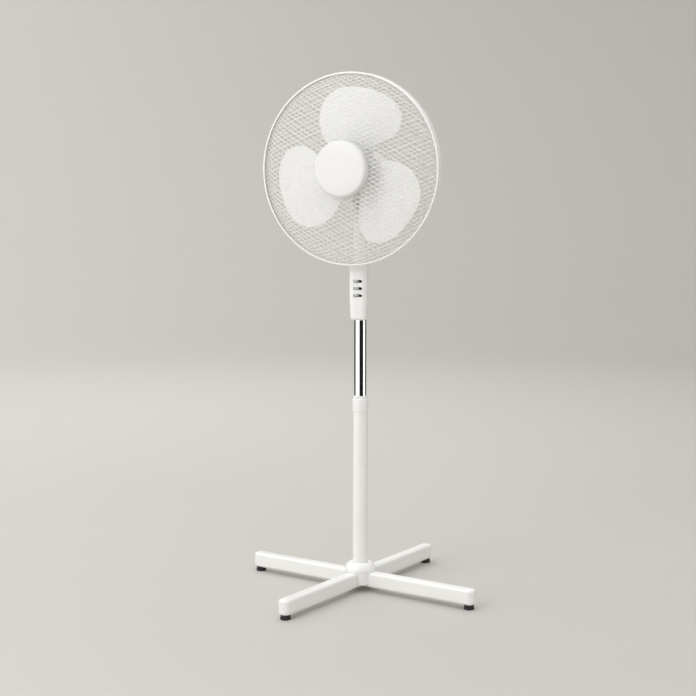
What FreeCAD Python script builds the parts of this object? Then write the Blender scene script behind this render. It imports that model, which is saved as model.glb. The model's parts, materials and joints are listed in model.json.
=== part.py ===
import FreeCAD, Part
import math
import os

import Sketcher
from FreeCAD import Placement, Rotation, Vector

# Pedestal fan. Millimetres, +Z up, origin on the floor under the column's axis.
# The head faces -Y. Three frames are used:
#   stand frame   the row's own frame
#   box frame     the stand frame turned about Z by box_yaw: the control box faces its -Y
#   head frame    x as the stand's x, y up, z forwards out of the fan, zero where the fan's axis
#                 crosses the column's axis

DIMENSIONS = {
    # cross base
    "leg_reach": 300, "leg_width": 28, "leg_bottom": 10.5, "leg_top": 44.5, "leg_round": 6,
    "leg_wall": 1.8, "leg_yaw": -9.5, "lap_gap": 0.1, "cap_length": 22, "cap_plug": 16,
    "cap_corner": 12, "foot_ring": 286, "foot_radius": 11.5, "foot_step": 5, "stem_radius": 4,
    "stem_top": 16, "cover_radius": 35, "cover_bottom": 17, "cover_top": 64, "cover_wall": 2.5,
    "flange_radius": 28, "flange_thick": 4, "spigot_top": 100, "base_bolt_radius": 4,
    "flange_screw_ring": 23, "flange_screw_radius": 2,
    # column
    "tube_radius": 17, "tube_bore": 15.5, "tube_top": 425, "bush_bore": 14.05,
    "bush_bottom": 385, "bush_top": 447, "ring_radius": 18.3, "ring_bottom": 412,
    "ring_top": 440, "chrome_radius": 14, "chrome_bore": 12.6, "chrome_bottom": 330,
    "chrome_top": 690, "running_gap": 0.05, "guide_height": 20,
    # control box
    "box_yaw": 12, "box_bottom": 620, "box_top": 746, "box_taper": 665, "box_half": 20.5,
    "box_half_low": 18, "box_front": 31, "box_back": 19, "box_wall": 2.5, "box_round": 6,
    "box_soften": 4.5, "box_screw_side": 16.7, "switch_front": 21, "capacitor_front": 27.8,
    "button_low": 676, "button_pitch": 16, "button_length": 20, "button_height": 6,
    "button_proud": 1.5, "button_gap": 0.3, "button_stem": 5.5, "flange_step": 1.5,
    # neck and tilt joint
    "neck_radius": 16.5, "neck_inside": 15.3, "neck_slim": 13.5,
    "neck_bottom": 630, "neck_top": 868, "tilt_height": 886,
    "ear_radius": 10.5, "ear_inner": 7, "ear_outer": 13, "tongue_half": 6.7,
    "tilt_bolt_radius": 3, "tilt_knob_radius": 7.5, "tilt_knob_reach": 20,
    "turntable_radius": 19, "turntable_bottom": 898.5, "turntable_top": 904.5,
    "post_radius": 5, "post_bottom": 891.3,
    # oscillation drive
    "lug_arm": 16, "lug_radius": 1.5, "lug_eye": 3.6, "swing_half": 35, "wheel_side": 12,
    "wheel_back": 41, "wheel_pitch": 8, "wheel_teeth": 20, "wheel_thick": 5,
    "crank_radius": 13, "link_bottom": 905.1, "link_thick": 1.8, "crank_bottom": 907.3,
    "crank_thick": 2.5, "spindle_radius": 3, "worm_pitch_radius": 4,
    # motor
    "head_height": 957, "shaft_radius": 4, "stator_radius": 38.2, "stator_bore": 23,
    "rotor_radius": 22.6, "frame_radius": 41, "frame_front": 7, "frame_back": -28,
    "frame_boss": 6.5, "boss_start": 39, "housing_radius": 44, "housing_wall": 2,
    "housing_back": 58, "housing_front": 20, "thread_radius": 20,
    "housing_screw_ring": 31, "housing_screw_radius": 1.5,
    # guards
    "band_radius": 212.5, "band_back": 45, "band_front": 65, "band_wall": 1.8, "band_lip": 6,
    "rim_inner": 200.5, "mesh_wire": 0.75, "mesh_pitch": 18.6, "mesh_angle_up": 20.6,
    "mesh_angle_down": -31, "mesh_rim": 203.5, "front_rim_plane": 59, "front_crown": 166,
    "front_crown_plane": 85, "front_apex": 97, "rear_rim_plane": 51, "rear_crown": 173,
    "rear_crown_plane": 27, "rear_apex": 22.3, "rear_hub_radius": 52, "guard_nut_radius": 31,
    # blade and badge
    "blade_count": 3, "blade_radius": 181, "blade_thick": 2, "blade_middle": 50,
    "blade_rise": 10, "blade_camber": 5, "hub_radius": 27, "hub_back": 36, "hub_front": 74,
    "badge_radius": 62.3, "badge_front": 113, "badge_back": 97.1, "badge_wall": 2.2,
    "badge_round": 8,
}

doc = FreeCAD.newDocument("pedestal_fan")
dims = doc.addObject("Spreadsheet::Sheet", "dims")
for row, (alias, value) in enumerate(DIMENSIONS.items(), start=1):
    dims.set(f"A{row}", alias)
    dims.set(f"B{row}", str(value))
    dims.setAlias(f"B{row}", alias)
doc.recompute()


class Sizes:
    """The sheet's cells as numbers: size.alias."""

    def __getattr__(self, alias):
        return float(dims.get(alias))


size = Sizes()
sub_parts = []

STAND = Placement()
BOX = Placement(Vector(0, 0, 0), Rotation(Vector(0, 0, 1), size.box_yaw))
HEAD = Placement(Vector(0, 0, size.head_height), Rotation(Vector(1, 0, 0), 90))
Z = Vector(0, 0, 1)


def keep(thing, name, frame=STAND):
    """Names a finished sub-part and puts it in its frame."""
    thing.Label = name
    thing.Placement = frame.multiply(thing.Placement)
    sub_parts.append(thing)
    return thing


def number(text):
    """An expression over the sheet's cells as a number."""
    return float(dims.evalExpression(str(text)))


def new_body(name):
    return doc.addObject("PartDesign::Body", f"{name}_body")


def new_sketch(body, role):
    """A sketch on one of the body's own planes."""
    plane = next(f for f in body.Origin.OriginFeatures if f.Role == role)
    sketch = body.newObject("Sketcher::SketchObject", f"{body.Name}_sketch")
    sketch.AttachmentSupport = [(plane, "")]
    sketch.MapMode = "FlatFace"
    return sketch


def arc_through(start, end, radius):
    """The short arc from start to end; its centre is left of the way for radius > 0."""
    half = (end - start) * 0.5
    lift = math.sqrt(max(radius * radius - half.Length**2, 0.0))
    left = Vector(-half.y, half.x, 0).normalize()
    side = 1 if radius > 0 else -1
    centre = start + half + left * (side * lift)
    low = start if side > 0 else end
    high = end if side > 0 else start
    first = math.atan2(low.y - centre.y, low.x - centre.x)
    last = math.atan2(high.y - centre.y, high.x - centre.x)
    circle = Part.Circle(centre, Z, abs(radius))
    return Part.ArcOfCircle(circle, first, last if last > first else last + 2 * math.pi)


def draw(sketch, corners):
    """A closed outline. A corner is (x, y), reached by a line, or (x, y, radius), reached by an
    arc. Each is an expression over the sheet's cells and stays bound to them."""
    points = [Vector(number(c[0]), number(c[1]), 0) for c in corners]
    ends = []
    for index, corner in enumerate(corners):
        start = points[index - 1]
        end = points[index]
        if len(corner) == 2:
            ends.append((sketch.addGeometry(Part.LineSegment(start, end), False), 1, 2))
            continue
        radius = number(corner[2])
        arc = sketch.addGeometry(arc_through(start, end, radius), False)
        ends.append((arc, 1, 2) if radius > 0 else (arc, 2, 1))
    for index, (edge, _, last) in enumerate(ends):
        following, first, _ = ends[(index + 1) % len(ends)]
        sketch.addConstraint(Sketcher.Constraint("Coincident", edge, last, following, first))
        pin(sketch, "DistanceX", edge, last, corners[index][0])
        pin(sketch, "DistanceY", edge, last, corners[index][1])
        half = (points[index] - points[index - 1]).Length / 2
        if len(corners[index]) == 3 and abs(number(corners[index][2])) > half * 1.01:
            bind_radius(sketch, edge, f"abs({corners[index][2]})")


def pin(sketch, kind, edge, end, expression):
    """Ties one coordinate of an edge's end to an expression, or to the axis where it is 0."""
    if number(expression) == 0:
        axis = -2 if kind == "DistanceX" else -1
        sketch.addConstraint(Sketcher.Constraint("PointOnObject", edge, end, axis))
        return
    at = sketch.addConstraint(
        Sketcher.Constraint(kind, -1, 1, edge, end, number(expression))
    )
    sketch.setExpression(f"Constraints[{at}]", str(expression))


def bind_radius(sketch, edge, expression):
    at = sketch.addConstraint(Sketcher.Constraint("Radius", edge, number(expression)))
    sketch.setExpression(f"Constraints[{at}]", expression)


def draw_circle(sketch, x, y, radius):
    """A circle whose centre and radius are expressions."""
    circle = Part.Circle(Vector(number(x), number(y), 0), Z, number(radius))
    edge = sketch.addGeometry(circle, False)
    pin(sketch, "DistanceX", edge, 3, x)
    pin(sketch, "DistanceY", edge, 3, y)
    bind_radius(sketch, edge, str(radius))


def revolve(body, corners):
    """Turns an outline of (radius, height) corners about the body's Z axis."""
    sketch = new_sketch(body, "XZ_Plane")
    draw(sketch, corners)
    feature = body.newObject("PartDesign::Revolution", f"{body.Name}_turned")
    feature.Profile = (sketch, [""])
    feature.ReferenceAxis = (sketch, ["V_Axis"])
    feature.Angle = 360
    doc.recompute()
    return feature


def turned(name, corners, frame=STAND):
    """A sub-part that is one turned piece."""
    body = new_body(name)
    revolve(body, corners)
    return keep(body, name, frame)


def pad(body, role, outline, length, reversed_way=False, both_ways=False):
    """Pads an outline drawn on one of the body's planes."""
    sketch = new_sketch(body, role)
    outline(sketch)
    feature = body.newObject("PartDesign::Pad", f"{body.Name}_pad")
    feature.Profile = sketch
    feature.setExpression("Length", str(length))
    feature.Reversed = reversed_way
    if both_ways:
        feature.SideType = "Symmetric"
    doc.recompute()
    return feature


def pocket(body, role, outline, length, reversed_way=False, both_ways=False):
    """Cuts an outline out of the body, and makes sure that something was cut."""
    before = body.Shape.Volume
    sketch = new_sketch(body, role)
    outline(sketch)
    feature = body.newObject("PartDesign::Pocket", f"{body.Name}_pocket")
    feature.Profile = sketch
    feature.setExpression("Length", str(length))
    feature.Reversed = reversed_way
    if both_ways:
        feature.SideType = "Symmetric"
    doc.recompute()
    if body.Shape.Volume > before - 1e-6:
        raise RuntimeError(f"{feature.Name} cuts nothing")
    return feature


def round_edges(body, radius, wanted):
    """Fillets the edges of the body's last feature that wanted() picks."""
    base = body.Tip
    names = [f"Edge{n}" for n, e in enumerate(base.Shape.Edges, start=1) if wanted(e)]
    feature = body.newObject("PartDesign::Fillet", f"{body.Name}_fillet")
    feature.Base = (base, names)
    feature.setExpression("Radius", str(radius))
    doc.recompute()
    if not feature.isValid():
        raise RuntimeError(f"{feature.Name} failed")
    return feature


def around(body, feature, count):
    """Repeats a feature count times about the body's Z axis."""
    axis = next(f for f in body.Origin.OriginFeatures if f.Role == "Z_Axis")
    pattern = body.newObject("PartDesign::PolarPattern", f"{body.Name}_pattern")
    pattern.Originals = [feature]
    pattern.Axis = (axis, [""])
    pattern.Angle = 360
    pattern.Occurrences = count
    body.Tip = pattern
    doc.recompute()
    return pattern


def cylinder(name, radius, length, base=(0, 0, 0), turn=None):
    """A Part cylinder with bound sizes. base and turn place it in its sub-part's frame."""
    thing = doc.addObject("Part::Cylinder", name)
    thing.setExpression("Radius", str(radius))
    thing.setExpression("Height", str(length))
    thing.Placement = Placement(Vector(*(number(v) for v in base)), turn or Rotation())
    return thing


def block(name, low, high):
    """A Part box from its low corner to its high corner, with bound sizes."""
    thing = doc.addObject("Part::Box", name)
    for side, first, last in zip(("Length", "Width", "Height"), low, high):
        thing.setExpression(side, f"({last}) - ({first})")
    thing.Placement = Placement(Vector(*(number(v) for v in low)), Rotation())
    return thing


def fused(name, things):
    thing = doc.addObject("Part::MultiFuse", name)
    thing.Shapes = things
    doc.recompute()
    return thing


def cut_from(name, base, tools):
    """Base less every tool."""
    tool = tools[0] if len(tools) == 1 else fused(f"{name}_tools", tools)
    thing = doc.addObject("Part::Cut", name)
    thing.Base = base
    thing.Tool = tool
    doc.recompute()
    return thing


def group(name, shapes, frame=STAND):
    """A sub-part made of one or more separate solids."""
    thing = doc.addObject("Part::Feature", f"{name}_shape")
    thing.Shape = shapes[0] if len(shapes) == 1 else Part.makeCompound(shapes)
    return keep(thing, name, frame)


def rounded_box(x_half, y_low, y_high, radius):
    """Corners of an upright rounded rectangle about the sketch's vertical axis."""
    return [
        (f"{x_half} - {radius}", y_low),
        (x_half, f"{y_low} + {radius}", radius),
        (x_half, f"{y_high} - {radius}"),
        (f"{x_half} - {radius}", y_high, radius),
        (f"-({x_half}) + {radius}", y_high),
        (f"-({x_half})", f"{y_high} - {radius}", radius),
        (f"-({x_half})", f"{y_low} + {radius}"),
        (f"-({x_half}) + {radius}", y_low, radius),
    ]


Z_TO_X = Rotation(Vector(0, 1, 0), 90)
Z_TO_MINUS_Y = Rotation(Vector(1, 0, 0), 90)
Z_TO_Y = Rotation(Vector(1, 0, 0), -90)


def leg_frame(quarter):
    """The stand frame turned so that X runs along one of the four half legs."""
    return Placement(Vector(0, 0, 0), Rotation(Z, size.leg_yaw + 90 * quarter))


def leg_tube(name, quarter, notch_low, notch_high):
    """A rectangular steel tube through the crossing, half cut away where the other one passes."""
    body = new_body(name)
    half = "dims.leg_width / 2"
    inner = f"{half} - dims.leg_wall"
    length = "2 * (dims.leg_reach - dims.cap_length)"
    outer_outline = rounded_box(half, "dims.leg_bottom", "dims.leg_top", "dims.leg_round")
    bore_outline = rounded_box(
        inner,
        "dims.leg_bottom + dims.leg_wall",
        "dims.leg_top - dims.leg_wall",
        "(dims.leg_round - dims.leg_wall)",
    )
    pad(body, "YZ_Plane", lambda s: draw(s, outer_outline), length, both_ways=True)
    pocket(body, "YZ_Plane", lambda s: draw(s, bore_outline), f"{length} + 2", both_ways=True)
    side = f"{half} + dims.lap_gap"
    notch = [(f"-({side})", notch_low), (side, notch_low), (side, notch_high),
             (f"-({side})", notch_high)]
    pocket(body, "XZ_Plane", lambda s: draw(s, notch), "dims.leg_width + 2", both_ways=True)

    def holes(sketch):
        draw_circle(sketch, 0, 0, "dims.base_bolt_radius + 0.2")
        for ring in ("dims.flange_screw_ring", "-dims.flange_screw_ring"):
            draw_circle(sketch, ring, 0, "dims.flange_screw_radius + 0.2")

    pocket(body, "XY_Plane", holes, "2 * dims.leg_top + 10", both_ways=True)
    keep(body, name, leg_frame(quarter))


def leg_end_cap(name, quarter):
    """The moulded end of a leg: a plug inside the tube and a rounded outer end flush with it."""
    half = "dims.leg_width / 2"
    start = "dims.leg_reach - dims.cap_length"
    outer = block(f"{name}_outer", (start, f"-{half}", "dims.leg_bottom"),
                  ("dims.leg_reach", half, "dims.leg_top"))
    doc.recompute()
    upright = rounded(f"{name}_plan", outer, "dims.cap_corner", lambda e: at_reach(e, True))
    soft = rounded(f"{name}_soft", upright, "dims.leg_round", lambda e: at_reach(e, False))
    slack = "(dims.leg_wall + 0.2)"
    plug = block(
        f"{name}_plug",
        (f"{start} - dims.cap_plug", f"-({half} - {slack})", f"dims.leg_bottom + {slack}"),
        (start, f"{half} - {slack}", f"dims.leg_top - {slack}"),
    )
    doc.recompute()
    inner_round = rounded(f"{name}_plug_soft", plug, "dims.leg_round - dims.leg_wall - 0.2",
                          lambda e: along_x(e))
    whole = fused(f"{name}_whole", [soft, inner_round])
    hole = cylinder(f"{name}_hole", "dims.stem_radius", "dims.stem_top - dims.leg_bottom + 0.5",
                    ("dims.foot_ring", 0, "dims.leg_bottom"))
    keep(cut_from(f"{name}_cut", whole, [hole]), name, leg_frame(quarter))


def at_reach(edge, upright):
    """An edge of the cap's outer end: one of its two upright corners, or any other that isn't
    on the face against the tube."""
    box = edge.BoundBox
    tall = box.ZLength > size.leg_top - size.leg_bottom - 1
    if upright:
        return tall and box.XMin > size.leg_reach - 1
    return not tall and box.XMax > size.leg_reach - size.cap_length + 1


def along_x(edge):
    return edge.BoundBox.XLength > size.cap_plug - 1


def rounded(name, base, radius, wanted):
    """A Part fillet of the edges that wanted() picks."""
    thing = doc.addObject("Part::Fillet", name)
    thing.Base = base
    value = number(radius)
    thing.Edges = [
        (n, value, value) for n, e in enumerate(base.Shape.Edges, start=1) if wanted(e)
    ]
    doc.recompute()
    return thing


def rubber_foot(name, quarter):
    """A stepped rubber foot with a stem pushed up into the end cap."""
    wide = "dims.foot_radius"
    step = "dims.foot_step"
    body = new_body(name)
    revolve(body, [
        (0, 0), (f"{wide} - 1", 0), (wide, 1), (wide, f"{step} - 0.6"),
        (f"{wide} - 1.4", step), (f"{wide} - 0.8", f"{step} + 0.8"),
        (f"{wide} - 0.8", "dims.leg_bottom"), ("dims.stem_radius", "dims.leg_bottom"),
        ("dims.stem_radius", "dims.stem_top"), (0, "dims.stem_top"),
    ])
    shift = Placement(Vector(size.foot_ring, 0, 0), Rotation())
    keep(body, name, leg_frame(quarter).multiply(shift))


def hub_cover():
    """The domed cover over the crossing, with an arch over each of the four legs."""
    body = new_body("hub_cover")
    wall = "dims.cover_wall"
    tube = "(dims.tube_radius + 0.3)"
    revolve(body, [
        ("dims.cover_radius", "dims.cover_bottom"),
        ("dims.cover_radius", "dims.cover_top - 22"),
        ("dims.cover_radius - 11", "dims.cover_top", 17.8),
        (tube, "dims.cover_top"),
        (tube, f"dims.cover_top - {wall}"),
        ("dims.cover_radius - 12.5", f"dims.cover_top - {wall}"),
        (f"dims.cover_radius - {wall}", "dims.cover_top - 22", -15.2),
        (f"dims.cover_radius - {wall}", "dims.cover_bottom"),
    ])
    arch = rounded_box("(dims.leg_width / 2 + 0.4)", "(dims.cover_bottom - 8)",
                       "(dims.leg_top + 0.5)", "dims.leg_round")
    for role in ("XZ_Plane", "YZ_Plane"):
        pocket(body, role, lambda s: draw(s, arch), "2 * dims.cover_radius + 2", both_ways=True)
    keep(body, "hub_cover", leg_frame(0))


def base_fixings():
    """The flanged socket that the column stands on, its bolt from below and its four screws."""
    flange_top = "(dims.leg_top + dims.flange_thick)"
    body = new_body("column_socket")
    revolve(body, [
        ("dims.base_bolt_radius", "dims.leg_top"),
        ("dims.flange_radius", "dims.leg_top"),
        ("dims.flange_radius", flange_top),
        ("dims.tube_bore - 0.05", flange_top),
        ("dims.tube_bore - 0.05", "dims.spigot_top - 3"),
        ("dims.tube_bore - 2", "dims.spigot_top"),
        ("dims.base_bolt_radius", "dims.spigot_top"),
    ])

    def screw_holes(sketch):
        ring = "dims.flange_screw_ring"
        for x, y in ((ring, 0), (f"-{ring}", 0), (0, ring), (0, f"-{ring}")):
            draw_circle(sketch, x, y, "dims.flange_screw_radius + 0.2")

    pocket(body, "XY_Plane", screw_holes, "4 * dims.leg_top", both_ways=True)
    keep(body, "column_socket", leg_frame(0))

    head_radius = 6.5
    head_height = 4.5
    shank_top = 84
    hexagon = Part.makePolygon([
        Vector(head_radius * math.cos(math.radians(a)), head_radius * math.sin(math.radians(a)),
               size.leg_bottom - head_height)
        for a in range(0, 361, 60)
    ])
    head = Part.Face(hexagon).extrude(Vector(0, 0, head_height))
    shank = Part.makeCylinder(size.base_bolt_radius, shank_top - size.leg_bottom,
                              Vector(0, 0, size.leg_bottom))
    bolt = head.fuse(shank).removeSplitter()
    top = size.leg_top + size.flange_thick
    screws = [screw_along_z(size.flange_screw_radius, 10, 3.6, 2.2) for _ in range(4)]
    for quarter, screw in enumerate(screws):
        screw.translate(Vector(size.flange_screw_ring, 0, top))
        screw.rotate(Vector(0, 0, 0), Z, 90 * quarter)
    group("base_fasteners", [bolt] + screws, leg_frame(0))


def screw_along_z(radius, length, head_radius, head_height):
    """A screw whose head sits on z = 0 and whose shank runs down from it."""
    shank = Part.makeCylinder(radius, length, Vector(0, 0, -length))
    head = Part.makeCylinder(head_radius, head_height)
    slot = Part.makeBox(2 * head_radius, 0.8, 1, Vector(-head_radius, -0.4, head_height - 1))
    rim = [e for e in head.Edges if e.BoundBox.ZMin > head_height - 0.01]
    return head.makeFillet(head_height * 0.4, rim).cut(slot).fuse(shank).removeSplitter()


def column():
    """The white tube, its collet bush and lock ring, and the chrome tube with its guide."""
    foot = "(dims.leg_top + dims.flange_thick)"
    turned("outer_tube", [
        ("dims.tube_bore", foot), ("dims.tube_radius", foot),
        ("dims.tube_radius", "dims.tube_top"), ("dims.tube_bore", "dims.tube_top"),
    ])
    body = new_body("column_bush")
    collar = "dims.tube_bore + 0.5"
    revolve(body, [
        ("dims.bush_bore", "dims.bush_bottom"), ("dims.tube_bore - 0.05", "dims.bush_bottom"),
        ("dims.tube_bore - 0.05", "dims.tube_top"), (collar, "dims.tube_top"),
        (collar, "dims.bush_top - 1"), (f"{collar} - 0.8", "dims.bush_top"),
        ("dims.bush_bore", "dims.bush_top"),
    ])
    slit_half = 0.6
    slit = [(-slit_half, "dims.tube_top + 2"), (slit_half, "dims.tube_top + 2"),
            (slit_half, "dims.bush_top + 1"), (-slit_half, "dims.bush_top + 1")]
    first = pocket(body, "XZ_Plane", lambda s: draw(s, slit), "dims.tube_radius + 3")
    around(body, first, 4)
    keep(body, "column_bush")
    inner = "(dims.tube_radius + dims.running_gap)"
    upper = "(dims.tube_bore + 0.5 + dims.running_gap)"
    turned("lock_ring", [
        (inner, "dims.ring_bottom"), ("dims.ring_radius - 0.5", "dims.ring_bottom"),
        ("dims.ring_radius", "dims.ring_bottom + 1"), ("dims.ring_radius", "dims.ring_top - 1.2"),
        ("dims.ring_radius - 1", "dims.ring_top"), (upper, "dims.ring_top"),
        (upper, "dims.tube_top + 0.3"), (inner, "dims.tube_top + 0.3"),
    ])
    lip = "(dims.chrome_bottom - 4)"
    turned("tube_guide", [
        ("dims.chrome_bore - 1", lip), ("dims.tube_bore - 0.08", lip),
        ("dims.tube_bore - 0.08", "dims.chrome_bottom + dims.guide_height"),
        ("dims.bush_bore", "dims.chrome_bottom + dims.guide_height"),
        ("dims.bush_bore", "dims.chrome_bottom - dims.running_gap"),
        ("dims.chrome_bore - 1", "dims.chrome_bottom - dims.running_gap"),
    ])
    turned("chrome_tube", [
        ("dims.chrome_bore", "dims.chrome_bottom"), ("dims.chrome_radius", "dims.chrome_bottom"),
        ("dims.chrome_radius", "dims.chrome_top"), ("dims.chrome_bore", "dims.chrome_top"),
    ], BOX)


def box_outline(inset):
    """The control box from the front: tapered at the bottom, with round corners."""
    low = f"(dims.box_bottom + {inset})"
    high = f"(dims.box_top - {inset})"
    half = f"(dims.box_half - {inset})"
    foot = f"(dims.box_half_low - {inset})"
    return [
        (f"{foot} - 5", low),
        (foot, f"{low} + 5.5", 5.5),
        (half, "dims.box_taper"),
        (half, f"{high} - dims.box_round"),
        (f"{half} - dims.box_round", high, "dims.box_round"),
        (f"-({half} - dims.box_round)", high),
        (f"-{half}", f"{high} - dims.box_round", "dims.box_round"),
        (f"-{half}", "dims.box_taper"),
        (f"-{foot}", f"{low} + 5.5"),
        (f"-({foot} - 5)", low, 5.5),
    ]


def pill(height, slack):
    """A button's outline from the front."""
    end = f"(dims.button_length / 2 - dims.button_height / 2)"
    radius = f"(dims.button_height / 2 + {slack})"
    return [
        (end, f"{height} - {radius}"),
        (end, f"{height} + {radius}", radius),
        (f"-{end}", f"{height} + {radius}"),
        (f"-{end}", f"{height} - {radius}", radius),
    ]


def shell(name, depth, backwards):
    """One half of the control box, open at the joint between the halves."""
    body = new_body(name)
    outer = box_outline("0")
    pad(body, "XZ_Plane", lambda s: draw(s, outer), depth, reversed_way=backwards)
    face = size.box_back if backwards else -size.box_front

    def on_face(edge):
        return edge.BoundBox.YLength < 0.01 and abs(edge.BoundBox.YMin - face) < 0.01

    round_edges(body, "dims.box_soften", on_face)
    hollow = box_outline("dims.box_wall")
    pocket(body, "XZ_Plane", lambda s: draw(s, hollow), f"{depth} - dims.box_wall",
           reversed_way=not backwards)
    pocket(body, "XY_Plane", lambda s: draw_circle(s, 0, 0, "dims.chrome_radius + 0.2"),
           "4 * dims.box_top", both_ways=True)
    return body


def control_box():
    """Front and rear shells, their screws, and what the front shell holds."""
    front = shell("control_box_front", "dims.box_front", False)
    for index in range(3):
        height = f"(dims.button_low + {index} * dims.button_pitch)"
        pocket(front, "XZ_Plane", lambda s: draw(s, pill(height, "dims.button_gap")),
               "dims.box_front + 2", reversed_way=True)
    rear = shell("control_box_rear", "dims.box_back", True)
    screw_height = size.box_top - 14
    boss_back = -8
    bosses = []
    boss_bores = []
    rear_bores = []
    screws = []
    for side in (-size.box_screw_side, size.box_screw_side):
        bosses.append(cylinder(f"boss_{len(bosses)}", 2.2, "dims.box_front - 8 - 1",
                               (side, boss_back, screw_height), Z_TO_MINUS_Y))
        boss_bores.append(cylinder(f"boss_bore_{len(bosses)}", 1.1, 14,
                                   (side, boss_back, screw_height), Z_TO_MINUS_Y))
        rear_bores.append(cylinder(f"rear_bore_{len(bosses)}", 1.2, 6,
                                   (side, "dims.box_back + 1", screw_height), Z_TO_MINUS_Y))
        screw = screw_along_z(1.1, size.box_back + 18, 2, 1.4)
        screw.rotate(Vector(0, 0, 0), Vector(1, 0, 0), -90)
        screw.translate(Vector(side, size.box_back, screw_height))
        screws.append(screw)
    opening, opening_rear = [
        cylinder(f"neck_opening_{end}", "dims.neck_radius + 0.1", 20, (0, 0, "dims.box_top - 10"))
        for end in ("front", "rear")
    ]
    doc.recompute()
    whole = fused("front_with_bosses", [front] + bosses)
    keep(cut_from("front_cut", whole, boss_bores + [opening]), "control_box_front", BOX)
    thumb_hole = cylinder("thumb_hole", 2.4, 6, (0, "dims.box_back + 1", 640), Z_TO_MINUS_Y)
    gland_hole = cylinder("gland_hole", 5, 6, (0, "dims.box_back + 1", 680), Z_TO_MINUS_Y)
    keep(cut_from("rear_cut", rear, rear_bores + [opening_rear, thumb_hole, gland_hole]),
         "control_box_rear", BOX)
    group("box_screws", screws, BOX)
    gland = new_body("cord_gland")
    revolve(gland, [(3.2, -3.5), (4.9, -3.5), (4.9, 0), (6.5, 0), (6.5, 1.5), (5, 3),
                    (4.4, 9), (3.2, 9)])
    at = Placement(Vector(0, size.box_back, 680), Z_TO_Y)
    keep(gland, "cord_gland", BOX.multiply(at))
    switch = block("switch_block_shape", (-14, "-dims.switch_front", 666), (14, -16, 718))
    doc.recompute()
    keep(rounded("switch_block_soft", switch, 0.8, lambda e: True), "switch_block", BOX)
    cell = block("run_capacitor_shape", (-12, "-dims.capacitor_front", 634), (12, -17.3, 656))
    doc.recompute()
    keep(rounded("run_capacitor_soft", cell, 1.5, lambda e: True), "run_capacitor", BOX)
    for index in range(3):
        speed_button(index)


def speed_button(index):
    """A push button: a pill that slides in its slot, with a flange that stops it inside."""
    name = f"speed_button_{index + 1}"
    height = f"(dims.button_low + {index} * dims.button_pitch)"
    body = new_body(name)
    pad(body, "XZ_Plane", lambda s: draw(s, pill(height, "0")),
        "dims.box_front + dims.button_proud")
    behind = rounded_box("40", "600", "760", "1")
    inner = "(dims.box_front - dims.button_stem)"
    pocket(body, "XZ_Plane", lambda s: draw(s, behind), inner, reversed_way=True)

    def on_face(edge):
        low = -size.box_front - size.button_proud
        return edge.BoundBox.YLength < 0.01 and abs(edge.BoundBox.YMin - low) < 0.01

    round_edges(body, "1", on_face)
    flange_front = "(dims.box_front - dims.box_wall - 0.6)"
    pad(body, "XZ_Plane", lambda s: draw(s, pill(height, "dims.flange_step")), flange_front)
    pocket(body, "XZ_Plane", lambda s: draw(s, behind), inner, reversed_way=True)
    keep(body, name, BOX)


def neck():
    """The neck: a plastic tube over the chrome tube's top, with a fork for the tilt joint. It is
    slim inside the control box, and tapers above it."""
    radius = "dims.neck_radius"
    inside = "dims.neck_inside"
    body = new_body("neck_tube")
    revolve(body, [
        ("dims.chrome_radius", "dims.neck_bottom"), (inside, "dims.neck_bottom"),
        (inside, "dims.box_top - 6"), (radius, "dims.box_top - 4"), (radius, "dims.box_top + 30"),
        ("dims.neck_slim", "dims.neck_top - 2"), ("dims.neck_slim - 2", "dims.neck_top"),
        (0, "dims.neck_top"), (0, "dims.neck_top - 8"),
        ("dims.chrome_bore", "dims.neck_top - 12"), ("dims.chrome_bore", "dims.chrome_top"),
        ("dims.chrome_radius", "dims.chrome_top"),
    ])
    ears = []
    for side, start in (("left", "-dims.ear_outer"), ("right", "dims.ear_inner")):
        width = "dims.ear_outer - dims.ear_inner"
        ears.append(block(f"ear_{side}_web", (start, "-dims.ear_radius", "dims.neck_top - 4"),
                          (f"{start} + {width}", "dims.ear_radius", "dims.tilt_height")))
        ears.append(cylinder(f"ear_{side}_eye", "dims.ear_radius", width,
                             (start, 0, "dims.tilt_height"), Z_TO_X))
    doc.recompute()
    whole = fused("neck_whole", [body] + ears)
    eye = cylinder("ear_bore", "dims.tilt_bolt_radius", 60, (-30, 0, "dims.tilt_height"), Z_TO_X)
    thumb = cylinder("neck_thumb_hole", 2.2, 12, (0, 22, 640), Z_TO_MINUS_Y)
    keep(cut_from("neck_cut", whole, [eye, thumb]), "neck", BOX)

    knob = screw_along_z(2.1, size.box_back - size.chrome_radius, 6, 5)
    knob.rotate(Vector(0, 0, 0), Vector(1, 0, 0), -90)
    knob.translate(Vector(0, size.box_back, 640))
    group("column_screw", [knob], BOX)

    head_thick = 3.5
    reach = size.ear_outer
    bolt = Part.makeCylinder(size.tilt_bolt_radius, 2 * reach + 5,
                             Vector(-reach, 0, size.tilt_height), Vector(1, 0, 0))
    head = Part.makeCylinder(5, head_thick, Vector(-reach - head_thick, 0, size.tilt_height),
                             Vector(1, 0, 0))
    group("tilt_bolt", [bolt.fuse(head).removeSplitter()], BOX)

    knob_body = new_body("tilt_knob")
    start = "(dims.ear_outer + 0.3)"
    bore = "(dims.tilt_bolt_radius + dims.running_gap)"
    revolve(knob_body, [
        (bore, start), ("dims.tilt_knob_radius", start),
        ("dims.tilt_knob_radius", "dims.tilt_knob_reach - 1"),
        ("dims.tilt_knob_radius - 1", "dims.tilt_knob_reach"), (bore, "dims.tilt_knob_reach"),
    ])
    scallop = pocket(
        knob_body, "XY_Plane",
        lambda s: draw_circle(s, "dims.tilt_knob_radius + 1.2", 0, 2), "60", both_ways=True)
    around(knob_body, scallop, 6)
    across = Placement(Vector(0, 0, size.tilt_height), Z_TO_X)
    keep(knob_body, "tilt_knob", BOX.multiply(across))


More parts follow.
